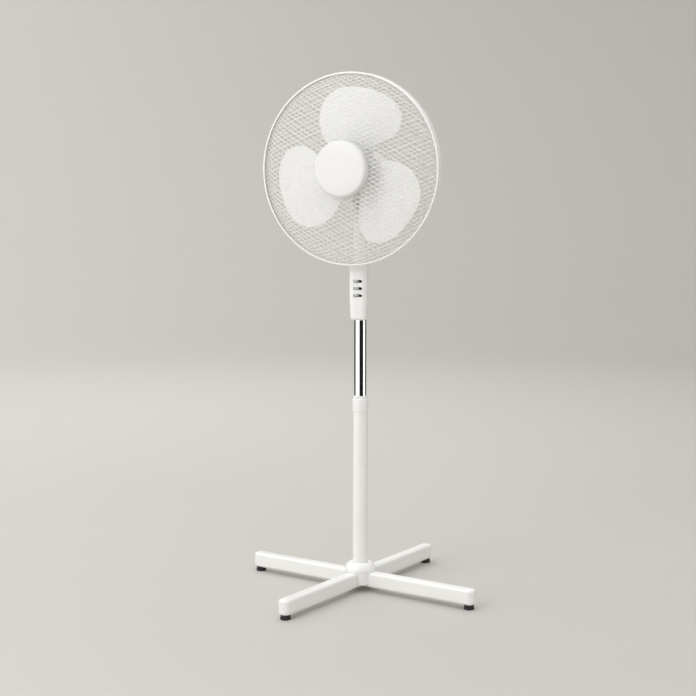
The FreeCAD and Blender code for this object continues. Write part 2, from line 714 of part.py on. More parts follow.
def rest_lug():
    """Where the link's fixed lug stands in the stand's plan, seen from the swinging head."""
    wheel = Vector(size.wheel_side, size.wheel_back, 0)
    middle = math.degrees(math.atan2(wheel.y, wheel.x)) + 90
    angle = math.radians(middle + size.box_yaw)
    return Vector(size.lug_arm * math.cos(angle), size.lug_arm * math.sin(angle), 0)


def crank_arm():
    """The crank's throw: it swings the lug's arm through swing_half each way."""
    return size.lug_arm * math.sin(math.radians(size.swing_half))


def link_length():
    """From the lug to the crank pin in the middle of the swing, both arms square to it."""
    apart = math.hypot(size.wheel_side, size.wheel_back)
    return math.hypot(apart, size.lug_arm - crank_arm())


def rest_crank_pin():
    """Where the circle of the crank's throw meets the circle of the link about the lug."""
    wheel = Vector(size.wheel_side, size.wheel_back, 0)
    lug = rest_lug()
    across = wheel - lug
    apart = across.Length
    along = (link_length() ** 2 - crank_arm() ** 2 + apart**2) / (2 * apart)
    aside = math.sqrt(link_length() ** 2 - along**2)
    way = across.normalize()
    return lug + way * along + Vector(-way.y, way.x, 0) * aside


def tilt_bracket():
    """The tongue of the tilt joint, with the turntable and bore of the oscillation pivot."""
    half = "dims.tongue_half"
    eye = cylinder("tongue_eye", "dims.ear_radius", f"2 * {half}",
                   (f"-{half}", 0, "dims.tilt_height"), Z_TO_X)
    web = block("tongue_web", (f"-{half}", "-dims.ear_radius", "dims.tilt_height"),
                (half, "dims.ear_radius", "dims.turntable_bottom"))
    table = cylinder("turntable", "dims.turntable_radius",
                     "dims.turntable_top - dims.turntable_bottom",
                     (0, 0, "dims.turntable_bottom"))
    lug = rest_lug()
    turned_back = Rotation(Z, -size.box_yaw).multVec(lug)
    boss = cylinder("lug_pin", "dims.lug_radius", "dims.link_thick + 1.5",
                    (turned_back.x, turned_back.y, "dims.turntable_top - 1"))
    doc.recompute()
    whole = fused("tilt_bracket_whole", [eye, web, table, boss])
    bolt = cylinder("tongue_bore", "dims.tilt_bolt_radius + dims.running_gap", 60,
                    (-30, 0, "dims.tilt_height"), Z_TO_X)
    post = cylinder("post_bore", "dims.post_radius + dims.running_gap", 30,
                    (0, 0, "dims.post_bottom - 0.5"))
    keep(cut_from("tilt_bracket_cut", whole, [bolt, post]), "tilt_bracket", BOX)


def swivel_frame():
    """The motor's cast frame: a ring round the stator, a boss and the oscillation post."""
    ring = cylinder("frame_ring", "dims.frame_radius", "dims.frame_front - dims.frame_back",
                    (0, 0, "dims.frame_back"))
    start = (0, "-dims.boss_start", 0)
    boss = cylinder("frame_boss_bar", "dims.frame_boss",
                    "dims.head_height - dims.turntable_top - 0.5 - dims.boss_start",
                    start, Z_TO_MINUS_Y)
    post = cylinder("frame_post", "dims.post_radius",
                    "dims.head_height - dims.post_bottom - dims.boss_start", start, Z_TO_MINUS_Y)
    doc.recompute()
    whole = fused("frame_whole", [ring, boss, post])
    bore = cylinder("frame_bore", "dims.stator_radius + 0.05", 60, (0, 0, -40))
    keep(cut_from("swivel_frame_cut", whole, [bore]), "swivel_frame", HEAD)


def motor():
    """Brackets, bushes, stator with its coils, rotor, shaft and worm."""
    shaft = "(dims.shaft_radius + 0.03)"
    turned("motor_front_bracket", [
        (8, 3), (11, 3), (11, "dims.frame_front"), ("dims.frame_radius", "dims.frame_front"),
        ("dims.frame_radius", "dims.frame_front + 3"), (8, "dims.frame_front + 3"),
    ], HEAD)
    turned("motor_rear_bracket", [
        (8, "dims.frame_back - 4"), ("dims.frame_radius - 1", "dims.frame_back - 4"),
        ("dims.frame_radius - 1", "dims.frame_back"), (11, "dims.frame_back"), (11, -24), (8, -24),
    ], HEAD)
    rings = []
    for low, high in ((2, 11), (-32, -23)):
        outer = Part.makeCylinder(8, high - low, Vector(0, 0, low))
        inner = Part.makeCylinder(number(shaft), high - low, Vector(0, 0, low))
        rings.append(outer.cut(inner))
    group("shaft_bushes", rings, HEAD)
    stator = new_body("stator")
    revolve(stator, [
        ("dims.stator_bore", -22), ("dims.stator_radius", -22), ("dims.stator_radius", 0),
        ("dims.stator_bore", 0),
    ])

    def slot(sketch):
        draw(sketch, [(-1.2, 20), (1.2, 20), (1.2, 25), (3, 28), (3, 33), (-3, 33), (-3, 28),
                      (-1.2, 25)])

    first = pocket(stator, "XY_Plane", slot, "80", both_ways=True)
    around(stator, first, 8)
    keep(stator, "stator", HEAD)
    coils = []
    for low, high in ((0, 4.5), (-26.5, -22)):
        ring = Part.makeCylinder(35, high - low, Vector(0, 0, low))
        ring = ring.cut(Part.makeCylinder(25, high - low, Vector(0, 0, low)))
        coils.append(ring.makeFillet(1.5, ring.Edges[:1]))
    group("stator_coils", coils, HEAD)
    turned("rotor", [
        ("dims.shaft_radius", -22), ("dims.rotor_radius", -22), ("dims.rotor_radius", 0),
        ("dims.shaft_radius", 0),
    ], HEAD)
    shaft_body = new_body("shaft_bar")
    revolve(shaft_body, [
        (0, -33), ("dims.shaft_radius", -33), ("dims.shaft_radius", 81),
        ("dims.shaft_radius - 1", 82), (0, 82),
    ])
    worm = doc.addObject("Part::Feature", "worm_thread")
    worm.Shape = worm_shape()
    keep(fused("motor_shaft_whole", [shaft_body, worm]), "motor_shaft", HEAD)


def worm_shape():
    """A single-start screw on the shaft's rear end: a core with a helical thread."""
    pitch = 2 * math.pi * size.wheel_pitch / size.wheel_teeth
    root = size.worm_pitch_radius - 0.9
    crest = size.worm_pitch_radius + 0.6
    low = -size.wheel_back - 7
    core = Part.makeCylinder(root, -33 - low, Vector(0, 0, low))
    turns = 4
    start = -size.wheel_back - turns * pitch / 2
    helix = Part.makeHelix(pitch, turns * pitch, root)
    profile = Part.makePolygon([
        Vector(root - 0.3, 0, -0.75), Vector(crest, 0, -0.3), Vector(crest, 0, 0.3),
        Vector(root - 0.3, 0, 0.75), Vector(root - 0.3, 0, -0.75),
    ])
    thread = Part.Wire(helix).makePipeShell([profile], True, True)
    thread.translate(Vector(0, 0, start))
    return core.fuse(thread)


def oscillation_drive():
    """The gear case behind the motor, the worm wheel, crank, link and the pull knob."""
    side = "dims.wheel_side"
    case = block("case_outer", (-8, -8, -53), (24, 8, -32))
    hollow = block("case_inner", (-6, -6, -51), (22, 6, -30))
    hole = cylinder("case_bore", "dims.spindle_radius + dims.running_gap", 40,
                    (side, 20, "-dims.wheel_back"), Z_TO_MINUS_Y)
    doc.recompute()
    case_round = rounded("case_round", case, 1.5, lambda e: e.BoundBox.ZMin < -40)
    keep(cut_from("gear_case_cut", case_round, [hollow, hole]), "gear_case", HEAD)

    teeth = int(size.wheel_teeth)
    thick = size.wheel_thick
    root = size.wheel_pitch - 0.95
    tip = size.wheel_pitch + 0.6
    corners = []
    for tooth in range(teeth):
        middle = 360 / teeth * (tooth + 0.5)
        for offset, radius in ((-6, root), (-2.4, tip), (2.4, tip), (6, root)):
            angle = math.radians(middle + offset)
            corners.append(Vector(radius * math.cos(angle), radius * math.sin(angle), 0))
    wheel = Part.Face(Part.makePolygon(corners + corners[:1])).extrude(Vector(0, 0, thick))
    wheel = wheel.cut(Part.makeCylinder(size.spindle_radius + size.running_gap, thick))
    wheel.translate(Vector(size.wheel_side, size.wheel_back, size.head_height - thick / 2))
    group("worm_wheel", [wheel])

    pin = rest_crank_pin()
    disc = Part.makeCylinder(size.crank_radius, size.crank_thick,
                             Vector(size.wheel_side, size.wheel_back, size.crank_bottom))
    spindle = Part.makeCylinder(size.spindle_radius, size.head_height + 11 - size.crank_bottom,
                                Vector(size.wheel_side, size.wheel_back, size.crank_bottom))
    stub = Part.makeCylinder(2, 3, Vector(pin.x, pin.y, size.crank_bottom - 2.6))
    group("crank", [disc.fuse([spindle, stub]).removeSplitter()])

    lug = rest_lug()
    way = (pin - lug).normalize()
    aside = Vector(-way.y, way.x, 0) * 3
    base = Vector(0, 0, size.link_bottom)
    bar = Part.Face(Part.makePolygon([
        base + lug + aside, base + pin + aside, base + pin - aside, base + lug - aside,
        base + lug + aside,
    ])).extrude(Vector(0, 0, size.link_thick))
    ends = [
        Part.makeCylinder(size.lug_eye + 2, size.link_thick, base + lug),
        Part.makeCylinder(4, size.link_thick, base + pin),
    ]
    bores = [
        Part.makeCylinder(size.lug_eye, size.link_thick, base + lug),
        Part.makeCylinder(2 + size.running_gap, size.link_thick, base + pin),
    ]
    link = bar.fuse(ends).removeSplitter().cut(bores)
    group("crank_link", [link])

    stem = 2.6
    stem_low = 13
    top = "(dims.housing_radius + 0.5)"
    knob = new_body("oscillation_knob")
    revolve(knob, [
        (0, stem_low), (stem, stem_low), (stem, top), (7, top), (8, f"{top} + 2"),
        (8, f"{top} + 8"), (6.5, f"{top} + 10.5"), (0, f"{top} + 11"),
    ])
    at = Placement(Vector(size.wheel_side, size.wheel_back, size.head_height), Rotation())
    keep(knob, "oscillation_knob", at)


def motor_housing():
    """Front plate with the threaded boss for the guard, and the rear cup with its vents."""
    radius = "dims.housing_radius"
    inner = f"{radius} - dims.housing_wall"
    front = "dims.housing_front"
    turned("motor_housing_front", [
        (6, 16), (inner, 16), (inner, 13.6), (radius, 13.6), (radius, f"{front} - 2"),
        (f"{radius} - 2", front, 2), ("dims.thread_radius", front),
        ("dims.thread_radius", f"{front} + 13"), (6, f"{front} + 13"),
    ], HEAD)
    body = new_body("motor_housing_rear")
    back = "dims.housing_back"
    wall = "dims.housing_wall"
    revolve(body, [
        (radius, 13.5), (inner, 13.5), (inner, f"-({back} - 14)"),
        (f"{radius} - 14", f"-({back} - {wall})", -12), (0, f"-({back} - {wall})"),
        (0, f"-{back}"), (f"{radius} - 14", f"-{back}"), (radius, f"-({back} - 14)", 14),
    ])
    vent = [(-1.5, 12), (1.5, 12), (1.5, 27), (-1.5, 27)]
    first = pocket(body, "XY_Plane", lambda s: draw(s, vent), "140", both_ways=True)
    around(body, first, 12)
    boss_hole = cylinder("housing_boss_hole", "dims.frame_boss + 3", 30, (0, -30, 0),
                         Z_TO_MINUS_Y)
    side = "dims.wheel_side"
    crank_hole = cylinder("housing_crank_hole", "dims.spindle_radius + 0.5", 40,
                          (side, -25, "-dims.wheel_back"), Z_TO_MINUS_Y)
    knob_hole = cylinder("housing_knob_hole", 3, 40, (side, 60, "-dims.wheel_back"), Z_TO_MINUS_Y)
    screws = []
    screw_holes = []
    for angle in (60, 180, 300):
        middle = Rotation(Z, angle).multVec(Vector(size.housing_screw_ring, 0, -size.housing_back))
        screw = screw_along_z(size.housing_screw_radius, 3.5, 3, 1.6)
        screw.rotate(Vector(0, 0, 0), Vector(1, 0, 0), 180)
        screw.translate(middle)
        screws.append(screw)
        screw_holes.append(cylinder(f"housing_screw_hole_{angle}", "dims.housing_screw_radius", 8,
                                    (middle.x, middle.y, f"-{back} - 2")))
    doc.recompute()
    keep(cut_from("housing_cut", body, [boss_hole, crank_hole, knob_hole] + screw_holes),
         "motor_housing_rear", HEAD)
    group("housing_screws", screws, HEAD)


def mesh_wire_edges(offset, shape, lift):
    """The edges of one wire in its own plane, as distance along and height: a shoulder arc, a
    crown arc and a shoulder arc. Near the rim a wire meets the shoulder only, in one arc."""
    rim, crown, rim_plane, crown_plane, apex = shape
    end = math.sqrt(rim**2 - offset**2)
    low = Vector(end, 0, rim_plane)
    if abs(offset) > crown * 0.985:
        share = (rim - abs(offset)) / (rim - crown)
        height = (crown_plane - rim_plane) * math.sqrt(max(1 - (1 - share) ** 2, 0.0))
        middle = Vector(0, 0, rim_plane + height + lift)
        return [Part.Arc(Vector(-end, 0, rim_plane), middle, low).toShape()]
    rise = apex - crown_plane
    sphere = (crown**2 + rise**2) / (2 * rise)
    centre = apex - sphere
    joint = math.sqrt(crown**2 - offset**2)
    top = centre + math.copysign(math.sqrt(sphere**2 - offset**2), sphere)
    slope = math.atan2(-joint * math.copysign(1, sphere), abs(centre - crown_plane))
    high = Vector(joint, 0, crown_plane + lift)
    shoulder = arc_from(high, Vector(math.cos(slope), 0, math.sin(slope)), low)
    mirrored = shoulder.mirror(Vector(0, 0, 0), Vector(1, 0, 0))
    crown_arc = Part.Arc(Vector(-joint, 0, crown_plane + lift), Vector(0, 0, top + lift), high)
    return [mirrored, crown_arc.toShape(), shoulder]


def arc_from(start, tangent, end):
    """The arc that leaves start along tangent and reaches end."""
    chord = end - start
    normal = Vector(-tangent.z, 0, tangent.x)
    radius = chord.Length**2 / (2 * chord.dot(normal))
    centre = start + normal * radius
    outwards = ((start + end) * 0.5 - centre).normalize()
    return Part.Arc(start, centre + outwards * abs(radius), end).toShape()


def guard_mesh(name, shape, hole):
    """Two crossing families of wires on a dome, one layer in front of the other."""
    wires = []
    rim = shape[0]
    pitch = size.mesh_pitch
    gap = size.mesh_wire + 0.05
    count = int(rim // pitch) + 1
    plug = Part.makeCylinder(hole, 200, Vector(0, 0, -50)) if hole else None
    for angle, lift in ((size.mesh_angle_up, gap), (size.mesh_angle_down, -gap)):
        for step in range(-count, count + 1):
            offset = (step + 0.5) * pitch
            if abs(offset) > rim - 3:
                continue
            edges = mesh_wire_edges(offset, shape, lift)
            path = Part.Wire(Part.__sortEdges__(edges))
            first = path.OrderedEdges[0]
            start = path.OrderedVertexes[0].Point
            way = first.tangentAt(first.FirstParameter)
            ring = Part.Wire(Part.makeCircle(size.mesh_wire, start, way))
            solid = path.makePipeShell([ring], True, False)
            if plug and abs(offset) < hole:
                solid = solid.cut(plug)
            solid.translate(Vector(0, offset, 0))
            solid.rotate(Vector(0, 0, 0), Z, angle)
            wires.extend(solid.Solids)
    group(name, wires, HEAD)


def guards():
    """Both guards with their rims, the closing band, the rear hub ring and its nut."""
    front = (size.mesh_rim, size.front_crown, size.front_rim_plane, size.front_crown_plane,
             size.front_apex)
    rear = (size.mesh_rim, size.rear_crown, size.rear_rim_plane, size.rear_crown_plane,
            size.rear_apex)
    guard_mesh("front_guard_mesh", front, 0)
    guard_mesh("rear_guard_mesh", rear, size.rear_hub_radius)
    seat = "(dims.band_radius - dims.band_wall - 0.1)"
    lip = "(dims.band_radius - dims.band_lip)"
    shelf = f"({lip} + 0.4)"
    meet = "((dims.band_back + dims.band_front) / 2)"
    under = "(dims.mesh_wire + 0.05)"
    front_seat = "(dims.band_front - dims.band_wall)"
    rear_seat = "(dims.band_back + dims.band_wall)"
    front_face = f"(dims.front_rim_plane - {under})"
    rear_face = f"(dims.rear_rim_plane + {under})"
    turned("front_guard_rim", [
        ("dims.rim_inner", f"{meet} + 0.1"), (seat, f"{meet} + 0.1"), (seat, front_seat),
        (shelf, front_seat), (shelf, front_face), ("dims.rim_inner", front_face),
    ], HEAD)
    turned("rear_guard_rim", [
        ("dims.rim_inner", rear_face), (shelf, rear_face), (shelf, rear_seat), (seat, rear_seat),
        (seat, f"{meet} - 0.1"), ("dims.rim_inner", f"{meet} - 0.1"),
    ], HEAD)
    wall = "dims.band_wall"
    outer = "dims.band_radius"
    turned("rim_band", [
        (lip, "dims.band_back"), (f"{outer} - 2", "dims.band_back"),
        (outer, "dims.band_back + 2", 2), (outer, "dims.band_front - 2"),
        (f"{outer} - 2", "dims.band_front", 2), (lip, "dims.band_front"),
        (lip, f"dims.band_front - {wall}"), (f"{outer} - {wall}", f"dims.band_front - {wall}"),
        (f"{outer} - {wall}", f"dims.band_back + {wall}"), (lip, f"dims.band_back + {wall}"),
    ], HEAD)
    hub_back = "(dims.housing_front)"
    turned("rear_guard_hub", [
        ("dims.thread_radius + 0.2", hub_back), ("dims.rear_hub_radius", hub_back),
        ("dims.rear_hub_radius", f"{hub_back} + 4.6"),
        ("dims.thread_radius + 0.2", f"{hub_back} + 4.6"),
    ], HEAD)
    nut = new_body("guard_nut")
    revolve(nut, [
        ("dims.thread_radius", f"{hub_back} + 4.6"),
        ("dims.guard_nut_radius", f"{hub_back} + 4.6"),
        ("dims.guard_nut_radius", f"{hub_back} + 11"),
        ("dims.guard_nut_radius - 2", f"{hub_back} + 12.6"),
        ("dims.thread_radius", f"{hub_back} + 12.6"),
    ])
    grip = pocket(nut, "XY_Plane",
                  lambda s: draw_circle(s, "dims.guard_nut_radius + 2.4", 0, 4), "100",
                  both_ways=True)
    around(nut, grip, 10)
    keep(nut, "guard_nut", HEAD)


def blade_surface():
    """The blade's front face before it is trimmed: a helicoid with a little camber."""
    middle = math.radians(84)
    spread = math.radians(60)
    grid = []
    for across in range(9):
        share = across / 4 - 1
        angle = middle + share * spread
        height = size.blade_middle + size.blade_rise * share * 60 / 43
        height += size.blade_camber * (1 - share * share * 1.4)
        grid.append([
            Vector(radius * math.cos(angle), radius * math.sin(angle), height)
            for radius in (18, 50, 90, 130, 165, 200)
        ])
    surface = Part.BSplineSurface()
    surface.interpolate(grid)
    return surface.toShape()


def blade_outline():
    """One broad petal from the front: a straight edge, a round tip and a bulging edge."""
    reach = size.blade_radius

    def polar(radius, degrees):
        return Vector(radius * math.cos(math.radians(degrees)),
                      radius * math.sin(math.radians(degrees)), 0)

    root_straight = Vector(8, 22, 0)
    edge_end = Vector(108, 81, 0)
    tip_start = polar(reach, 63)
    tip_end = polar(reach, 96)
    belly = polar(145, 119.3)
    root_bulge = polar(88, 131.8)
    root_inner = polar(23, 140)
    return Part.Wire([
        Part.LineSegment(root_straight, edge_end).toShape(),
        Part.Arc(edge_end, polar(167, 45), tip_start).toShape(),
        Part.Arc(tip_start, polar(reach, 80), tip_end).toShape(),
        Part.Arc(tip_end, polar(167.5, 109), belly).toShape(),
        Part.Arc(belly, polar(120, 126), root_bulge).toShape(),
        Part.LineSegment(root_bulge, root_inner).toShape(),
        Part.LineSegment(root_inner, root_straight).toShape(),
    ])


def fan_blade():
    """Three petals on a cup-shaped hub, moulded as one piece, and the nut that holds it."""
    slab = blade_surface().extrude(Vector(0, 0, -size.blade_thick))
    outline = Part.Face(blade_outline()).extrude(Vector(0, 0, 140))
    petal = slab.common(outline)
    hub = doc.addObject("Part::Feature", "blade_hub")
    profile = [
        (size.shaft_radius, size.hub_back + 4), (8, size.hub_back + 4), (8, size.hub_front - 3),
        (size.hub_radius - 2.5, size.hub_front - 3), (size.hub_radius - 2.5, size.hub_back),
        (size.hub_radius, size.hub_back), (size.hub_radius, size.hub_front - 2),
        (size.hub_radius - 2, size.hub_front), (size.shaft_radius, size.hub_front),
        (size.shaft_radius, size.hub_back + 4),
    ]
    wire = Part.makePolygon([Vector(r, 0, h) for r, h in profile])
    hub.Shape = Part.Face(wire).revolve(Vector(0, 0, 0), Z, 360)
    inside = Part.makeCylinder(size.hub_radius - 1, 200, Vector(0, 0, -20))
    petals = []
    for turn in range(int(size.blade_count)):
        one = petal.cut(inside)
        one.rotate(Vector(0, 0, 0), Z, turn * 360 / size.blade_count)
        thing = doc.addObject("Part::Feature", f"petal_{turn}")
        thing.Shape = one
        petals.append(thing)
    keep(fused("fan_blade_whole", [hub] + petals), "fan_blade", HEAD)
    turned("blade_nut", [
        ("dims.shaft_radius", "dims.hub_front"), (15, "dims.hub_front"),
        (15, "dims.hub_front + 8"), (9, "dims.hub_front + 12", 6), (0, "dims.hub_front + 12"),
        (0, "dims.hub_front + 9"), ("dims.shaft_radius", "dims.hub_front + 9"),
    ], HEAD)


def badge():
    """The plain round cap over the middle of the front guard, clamped through the mesh."""
    edge = "dims.badge_radius"
    wall = "dims.badge_wall"
    front = "dims.badge_front"
    soft = "dims.badge_round"
    turned("badge", [
        (0, front), (0, f"{front} - {wall} - 2"), (1.3, f"{front} - {wall} - 2"),
        (1.3, "dims.badge_back - 2"), (3, "dims.badge_back - 2"), (3, f"{front} - {wall}"),
        (f"{edge} - {soft}", f"{front} - {wall}"),
        (f"{edge} - {wall}", f"{front} - {soft}", f"-({soft} - {wall})"),
        (f"{edge} - {wall}", "dims.badge_back"), (edge, "dims.badge_back"),
        (edge, f"{front} - {soft}"), (f"{edge} - {soft}", front, soft),
    ], HEAD)
    low = "(dims.badge_back - 4)"
    turned("badge_retainer", [
        (1.6, low), (28, low), (30, f"{low} + 0.8"), (30, f"{low} + 1.9"), (1.6, f"{low} + 1.9"),
    ], HEAD)
    screw = screw_along_z(1.3, 12, 3, 1.8)
    screw.rotate(Vector(0, 0, 0), Vector(1, 0, 0), 180)
    screw.translate(Vector(0, 0, number(low)))
    group("badge_screw", [screw], HEAD)


def check_document():
    """Stops if any object failed, or a sub-part isn't a valid closed shape."""
    doc.recompute()
    for thing in doc.Objects:
        if "Invalid" in thing.State or "Error" in thing.State:
            raise RuntimeError(f"{thing.Label} failed: {thing.State}")
    for thing in sub_parts:
        shape = thing.Shape
        if shape.isNull() or not shape.isValid() or not shape.Solids:
            raise RuntimeError(f"{thing.Label} isn't a valid solid")


def main():
    leg_middle = "((dims.leg_bottom + dims.leg_top) / 2)"
    leg_tube("leg_tube_upper", 0, "dims.leg_bottom - 1", f"{leg_middle} + dims.lap_gap")
    leg_tube("leg_tube_lower", 1, f"{leg_middle} - dims.lap_gap", "dims.leg_top + 1")
    for quarter in range(4):
        leg_end_cap(f"leg_end_cap_{quarter + 1}", quarter)
        rubber_foot(f"rubber_foot_{quarter + 1}", quarter)
    hub_cover()
    base_fixings()
    column()
    control_box()
    neck()
    tilt_bracket()
    swivel_frame()
    motor()
    oscillation_drive()
    motor_housing()
    guards()
    fan_blade()
    badge()
    check_document()
    os.makedirs("parts", exist_ok=True)
    for thing in sub_parts:
        thing.Shape.exportStep(f"parts/{thing.Label}.step")
    print(len(sub_parts), "sub-parts written")


main()
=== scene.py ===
import json
import math
from bisect import bisect_right

import bmesh
import bpy
from mathutils import Matrix, Vector


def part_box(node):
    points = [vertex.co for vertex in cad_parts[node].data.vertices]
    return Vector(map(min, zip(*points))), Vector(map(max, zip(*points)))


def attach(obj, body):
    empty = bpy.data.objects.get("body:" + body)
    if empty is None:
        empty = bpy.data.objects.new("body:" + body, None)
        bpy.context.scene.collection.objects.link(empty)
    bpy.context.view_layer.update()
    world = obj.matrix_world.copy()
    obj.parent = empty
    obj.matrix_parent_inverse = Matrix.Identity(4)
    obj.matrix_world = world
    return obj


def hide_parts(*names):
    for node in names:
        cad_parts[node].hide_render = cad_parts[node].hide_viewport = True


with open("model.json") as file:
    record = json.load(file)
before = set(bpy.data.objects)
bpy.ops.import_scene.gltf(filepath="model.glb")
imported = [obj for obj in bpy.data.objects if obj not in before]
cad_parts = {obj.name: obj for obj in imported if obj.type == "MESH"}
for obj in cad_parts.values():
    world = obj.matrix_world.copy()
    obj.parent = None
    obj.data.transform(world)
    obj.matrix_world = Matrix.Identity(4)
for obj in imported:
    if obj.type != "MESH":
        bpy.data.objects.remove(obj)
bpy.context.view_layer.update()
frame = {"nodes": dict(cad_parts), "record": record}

# Pedestal fan. Metres, +Z up, the head faces -Y. Pieces of the head are drawn in the head's own
# coordinates: side to the right, rise up from the fan's axis, ahead forwards out of the fan.

MM = 0.001
NODES = frame["nodes"]

BAND_LOW, BAND_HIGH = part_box("rim_band")
AXIS_HEIGHT = (BAND_LOW.z + BAND_HIGH.z) / 2
BAND_RADIUS = (BAND_HIGH.x - BAND_LOW.x) / 2
BAND_BACK, BAND_FRONT = -BAND_HIGH.y, -BAND_LOW.y
BAND_MIDDLE = (BAND_BACK + BAND_FRONT) / 2

BADGE_LOW, BADGE_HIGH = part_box("badge")
BADGE_RADIUS = (BADGE_HIGH.x - BADGE_LOW.x) / 2
BADGE_FRONT, BADGE_BACK = -BADGE_LOW.y, -BADGE_HIGH.y


def in_head(side, rise, ahead):
    """A point of the head in the frame's own coordinates."""
    return Vector((side, -ahead, AXIS_HEIGHT + rise))


# ---------------------------------------------------------------- materials

BROAD_SCALE, BROAD_DETAIL = 9.0, 3.0
FINE_DETAIL = 2.0
NOISE_LOW, NOISE_HIGH = 0.3, 0.7
COAT_ROUGHNESS = 0.12
# How a texture is squeezed along each axis; UPRIGHT draws it out into upright streaks.
EVEN = (1, 1, 1)
UPRIGHT = (1, 1, 0.04)


def blank(name):
    """A new material, with its node tree and its shader."""
    material = bpy.data.materials.new(name)
    material.use_nodes = True
    tree = material.node_tree
    shader = next(node for node in tree.nodes if node.type == "BSDF_PRINCIPLED")
    return material, tree, shader


def object_noise(tree, scale, detail, stretch=EVEN):
    """Noise laid out over the object itself, so that it stays put on the surface."""
    where = tree.nodes.new("ShaderNodeTexCoord")
    spread = tree.nodes.new("ShaderNodeMapping")
    spread.inputs["Scale"].default_value = stretch
    noise = tree.nodes.new("ShaderNodeTexNoise")
    noise.inputs["Scale"].default_value = scale
    noise.inputs["Detail"].default_value = detail
    tree.links.new(where.outputs["Object"], spread.inputs["Vector"])
    tree.links.new(spread.outputs["Vector"], noise.inputs["Vector"])
    return noise.outputs["Fac"]


def ramp(tree, noise, low, high):
    """Maps the middle of a noise's range to low..high."""
    node = tree.nodes.new("ShaderNodeMapRange")
    node.inputs["From Min"].default_value = NOISE_LOW
    node.inputs["From Max"].default_value = NOISE_HIGH
    node.inputs["To Min"].default_value = low
    node.inputs["To Max"].default_value = high
    tree.links.new(noise, node.inputs["Value"])
    return node.outputs["Result"]


def two_tones(tree, source, first, second):
    """Goes from the first tone to the second as the source goes from 0 to 1."""
    mix = tree.nodes.new("ShaderNodeMix")
    mix.data_type = "RGBA"
    mix.inputs["A"].default_value = (*first, 1)
    mix.inputs["B"].default_value = (*second, 1)
    tree.links.new(source, mix.inputs["Factor"])
    return mix.outputs["Result"]


def bumped(tree, shader, source, height):
    """Raises the surface by the source, up to a height."""
    bump = tree.nodes.new("ShaderNodeBump")
    bump.inputs["Distance"].default_value = height
    bump.inputs["Strength"].default_value = 1.0
    tree.links.new(source, bump.inputs["Height"])
    tree.links.new(bump.outputs["Normal"], shader.inputs["Normal"])


def shaded(tone, share):
    """A tone with every channel cut to a share."""
    return tuple(channel * share for channel in tone)


def finish_of(name, tone, rough, grain, height, metallic=0.0, coat=0.0, stretch=EVEN,
              contrast=0.03):
    """A surface with slight unevenness in tone, in roughness and in height.

    rough is (smoothest, roughest), grain the texture's scale per metre, height its depth."""
    material, tree, shader = blank(name)
    broad = ramp(tree, object_noise(tree, BROAD_SCALE, BROAD_DETAIL), 0, 1)
    tree.links.new(two_tones(tree, broad, shaded(tone, 1 - contrast), tone),
                   shader.inputs["Base Color"])
    fine = object_noise(tree, grain, FINE_DETAIL, stretch)
    tree.links.new(ramp(tree, fine, *rough), shader.inputs["Roughness"])
    bumped(tree, shader, fine, height)
    shader.inputs["Metallic"].default_value = metallic
    shader.inputs["Coat Weight"].default_value = coat
    shader.inputs["Coat Roughness"].default_value = COAT_ROUGHNESS
    return material


def striped(name, scale, first, second, height, metallic, rough):
    """A surface striped in two tones and in height, and the wave that draws the stripes."""
    material, tree, shader = blank(name)
    where = tree.nodes.new("ShaderNodeTexCoord")
    wave = tree.nodes.new("ShaderNodeTexWave")
    wave.inputs["Scale"].default_value = scale
    tree.links.new(where.outputs["Object"], wave.inputs["Vector"])
    tree.links.new(two_tones(tree, wave.outputs["Fac"], first, second),
                   shader.inputs["Base Color"])
    bumped(tree, shader, wave.outputs["Fac"], height)
    shader.inputs["Metallic"].default_value = metallic
    shader.inputs["Roughness"].default_value = rough
    return material, wave


def laminated(name):
    """A stack of varnished sheets along the motor's axis, which is the frame's Y."""
    material, sheets = striped(name, 160, (0.10, 0.10, 0.11), (0.30, 0.30, 0.32), 0.2 * MM,
                               metallic=0.7, rough=0.45)
    sheets.bands_direction = "Y"
    return material


def wound(name):
    """Enamelled wire: fine turns round the motor's axis."""
    material, turns = striped(name, 220, (0.32, 0.12, 0.05), (0.72, 0.36, 0.18), 0.3 * MM,
                              metallic=0.6, rough=0.35)
    turns.wave_type = "RINGS"
    turns.rings_direction = "Y"
    turns.inputs["Distortion"].default_value = 0.6
    return material


def plain(name, tone, rough, glow=0.0):
    """A material of one even tone, which may glow."""
    material, _, shader = blank(name)
    shader.inputs["Base Color"].default_value = (*tone, 1)
    shader.inputs["Roughness"].default_value = rough
    shader.inputs["Emission Color"].default_value = (1, 1, 1, 1)
    shader.inputs["Emission Strength"].default_value = glow
    return material


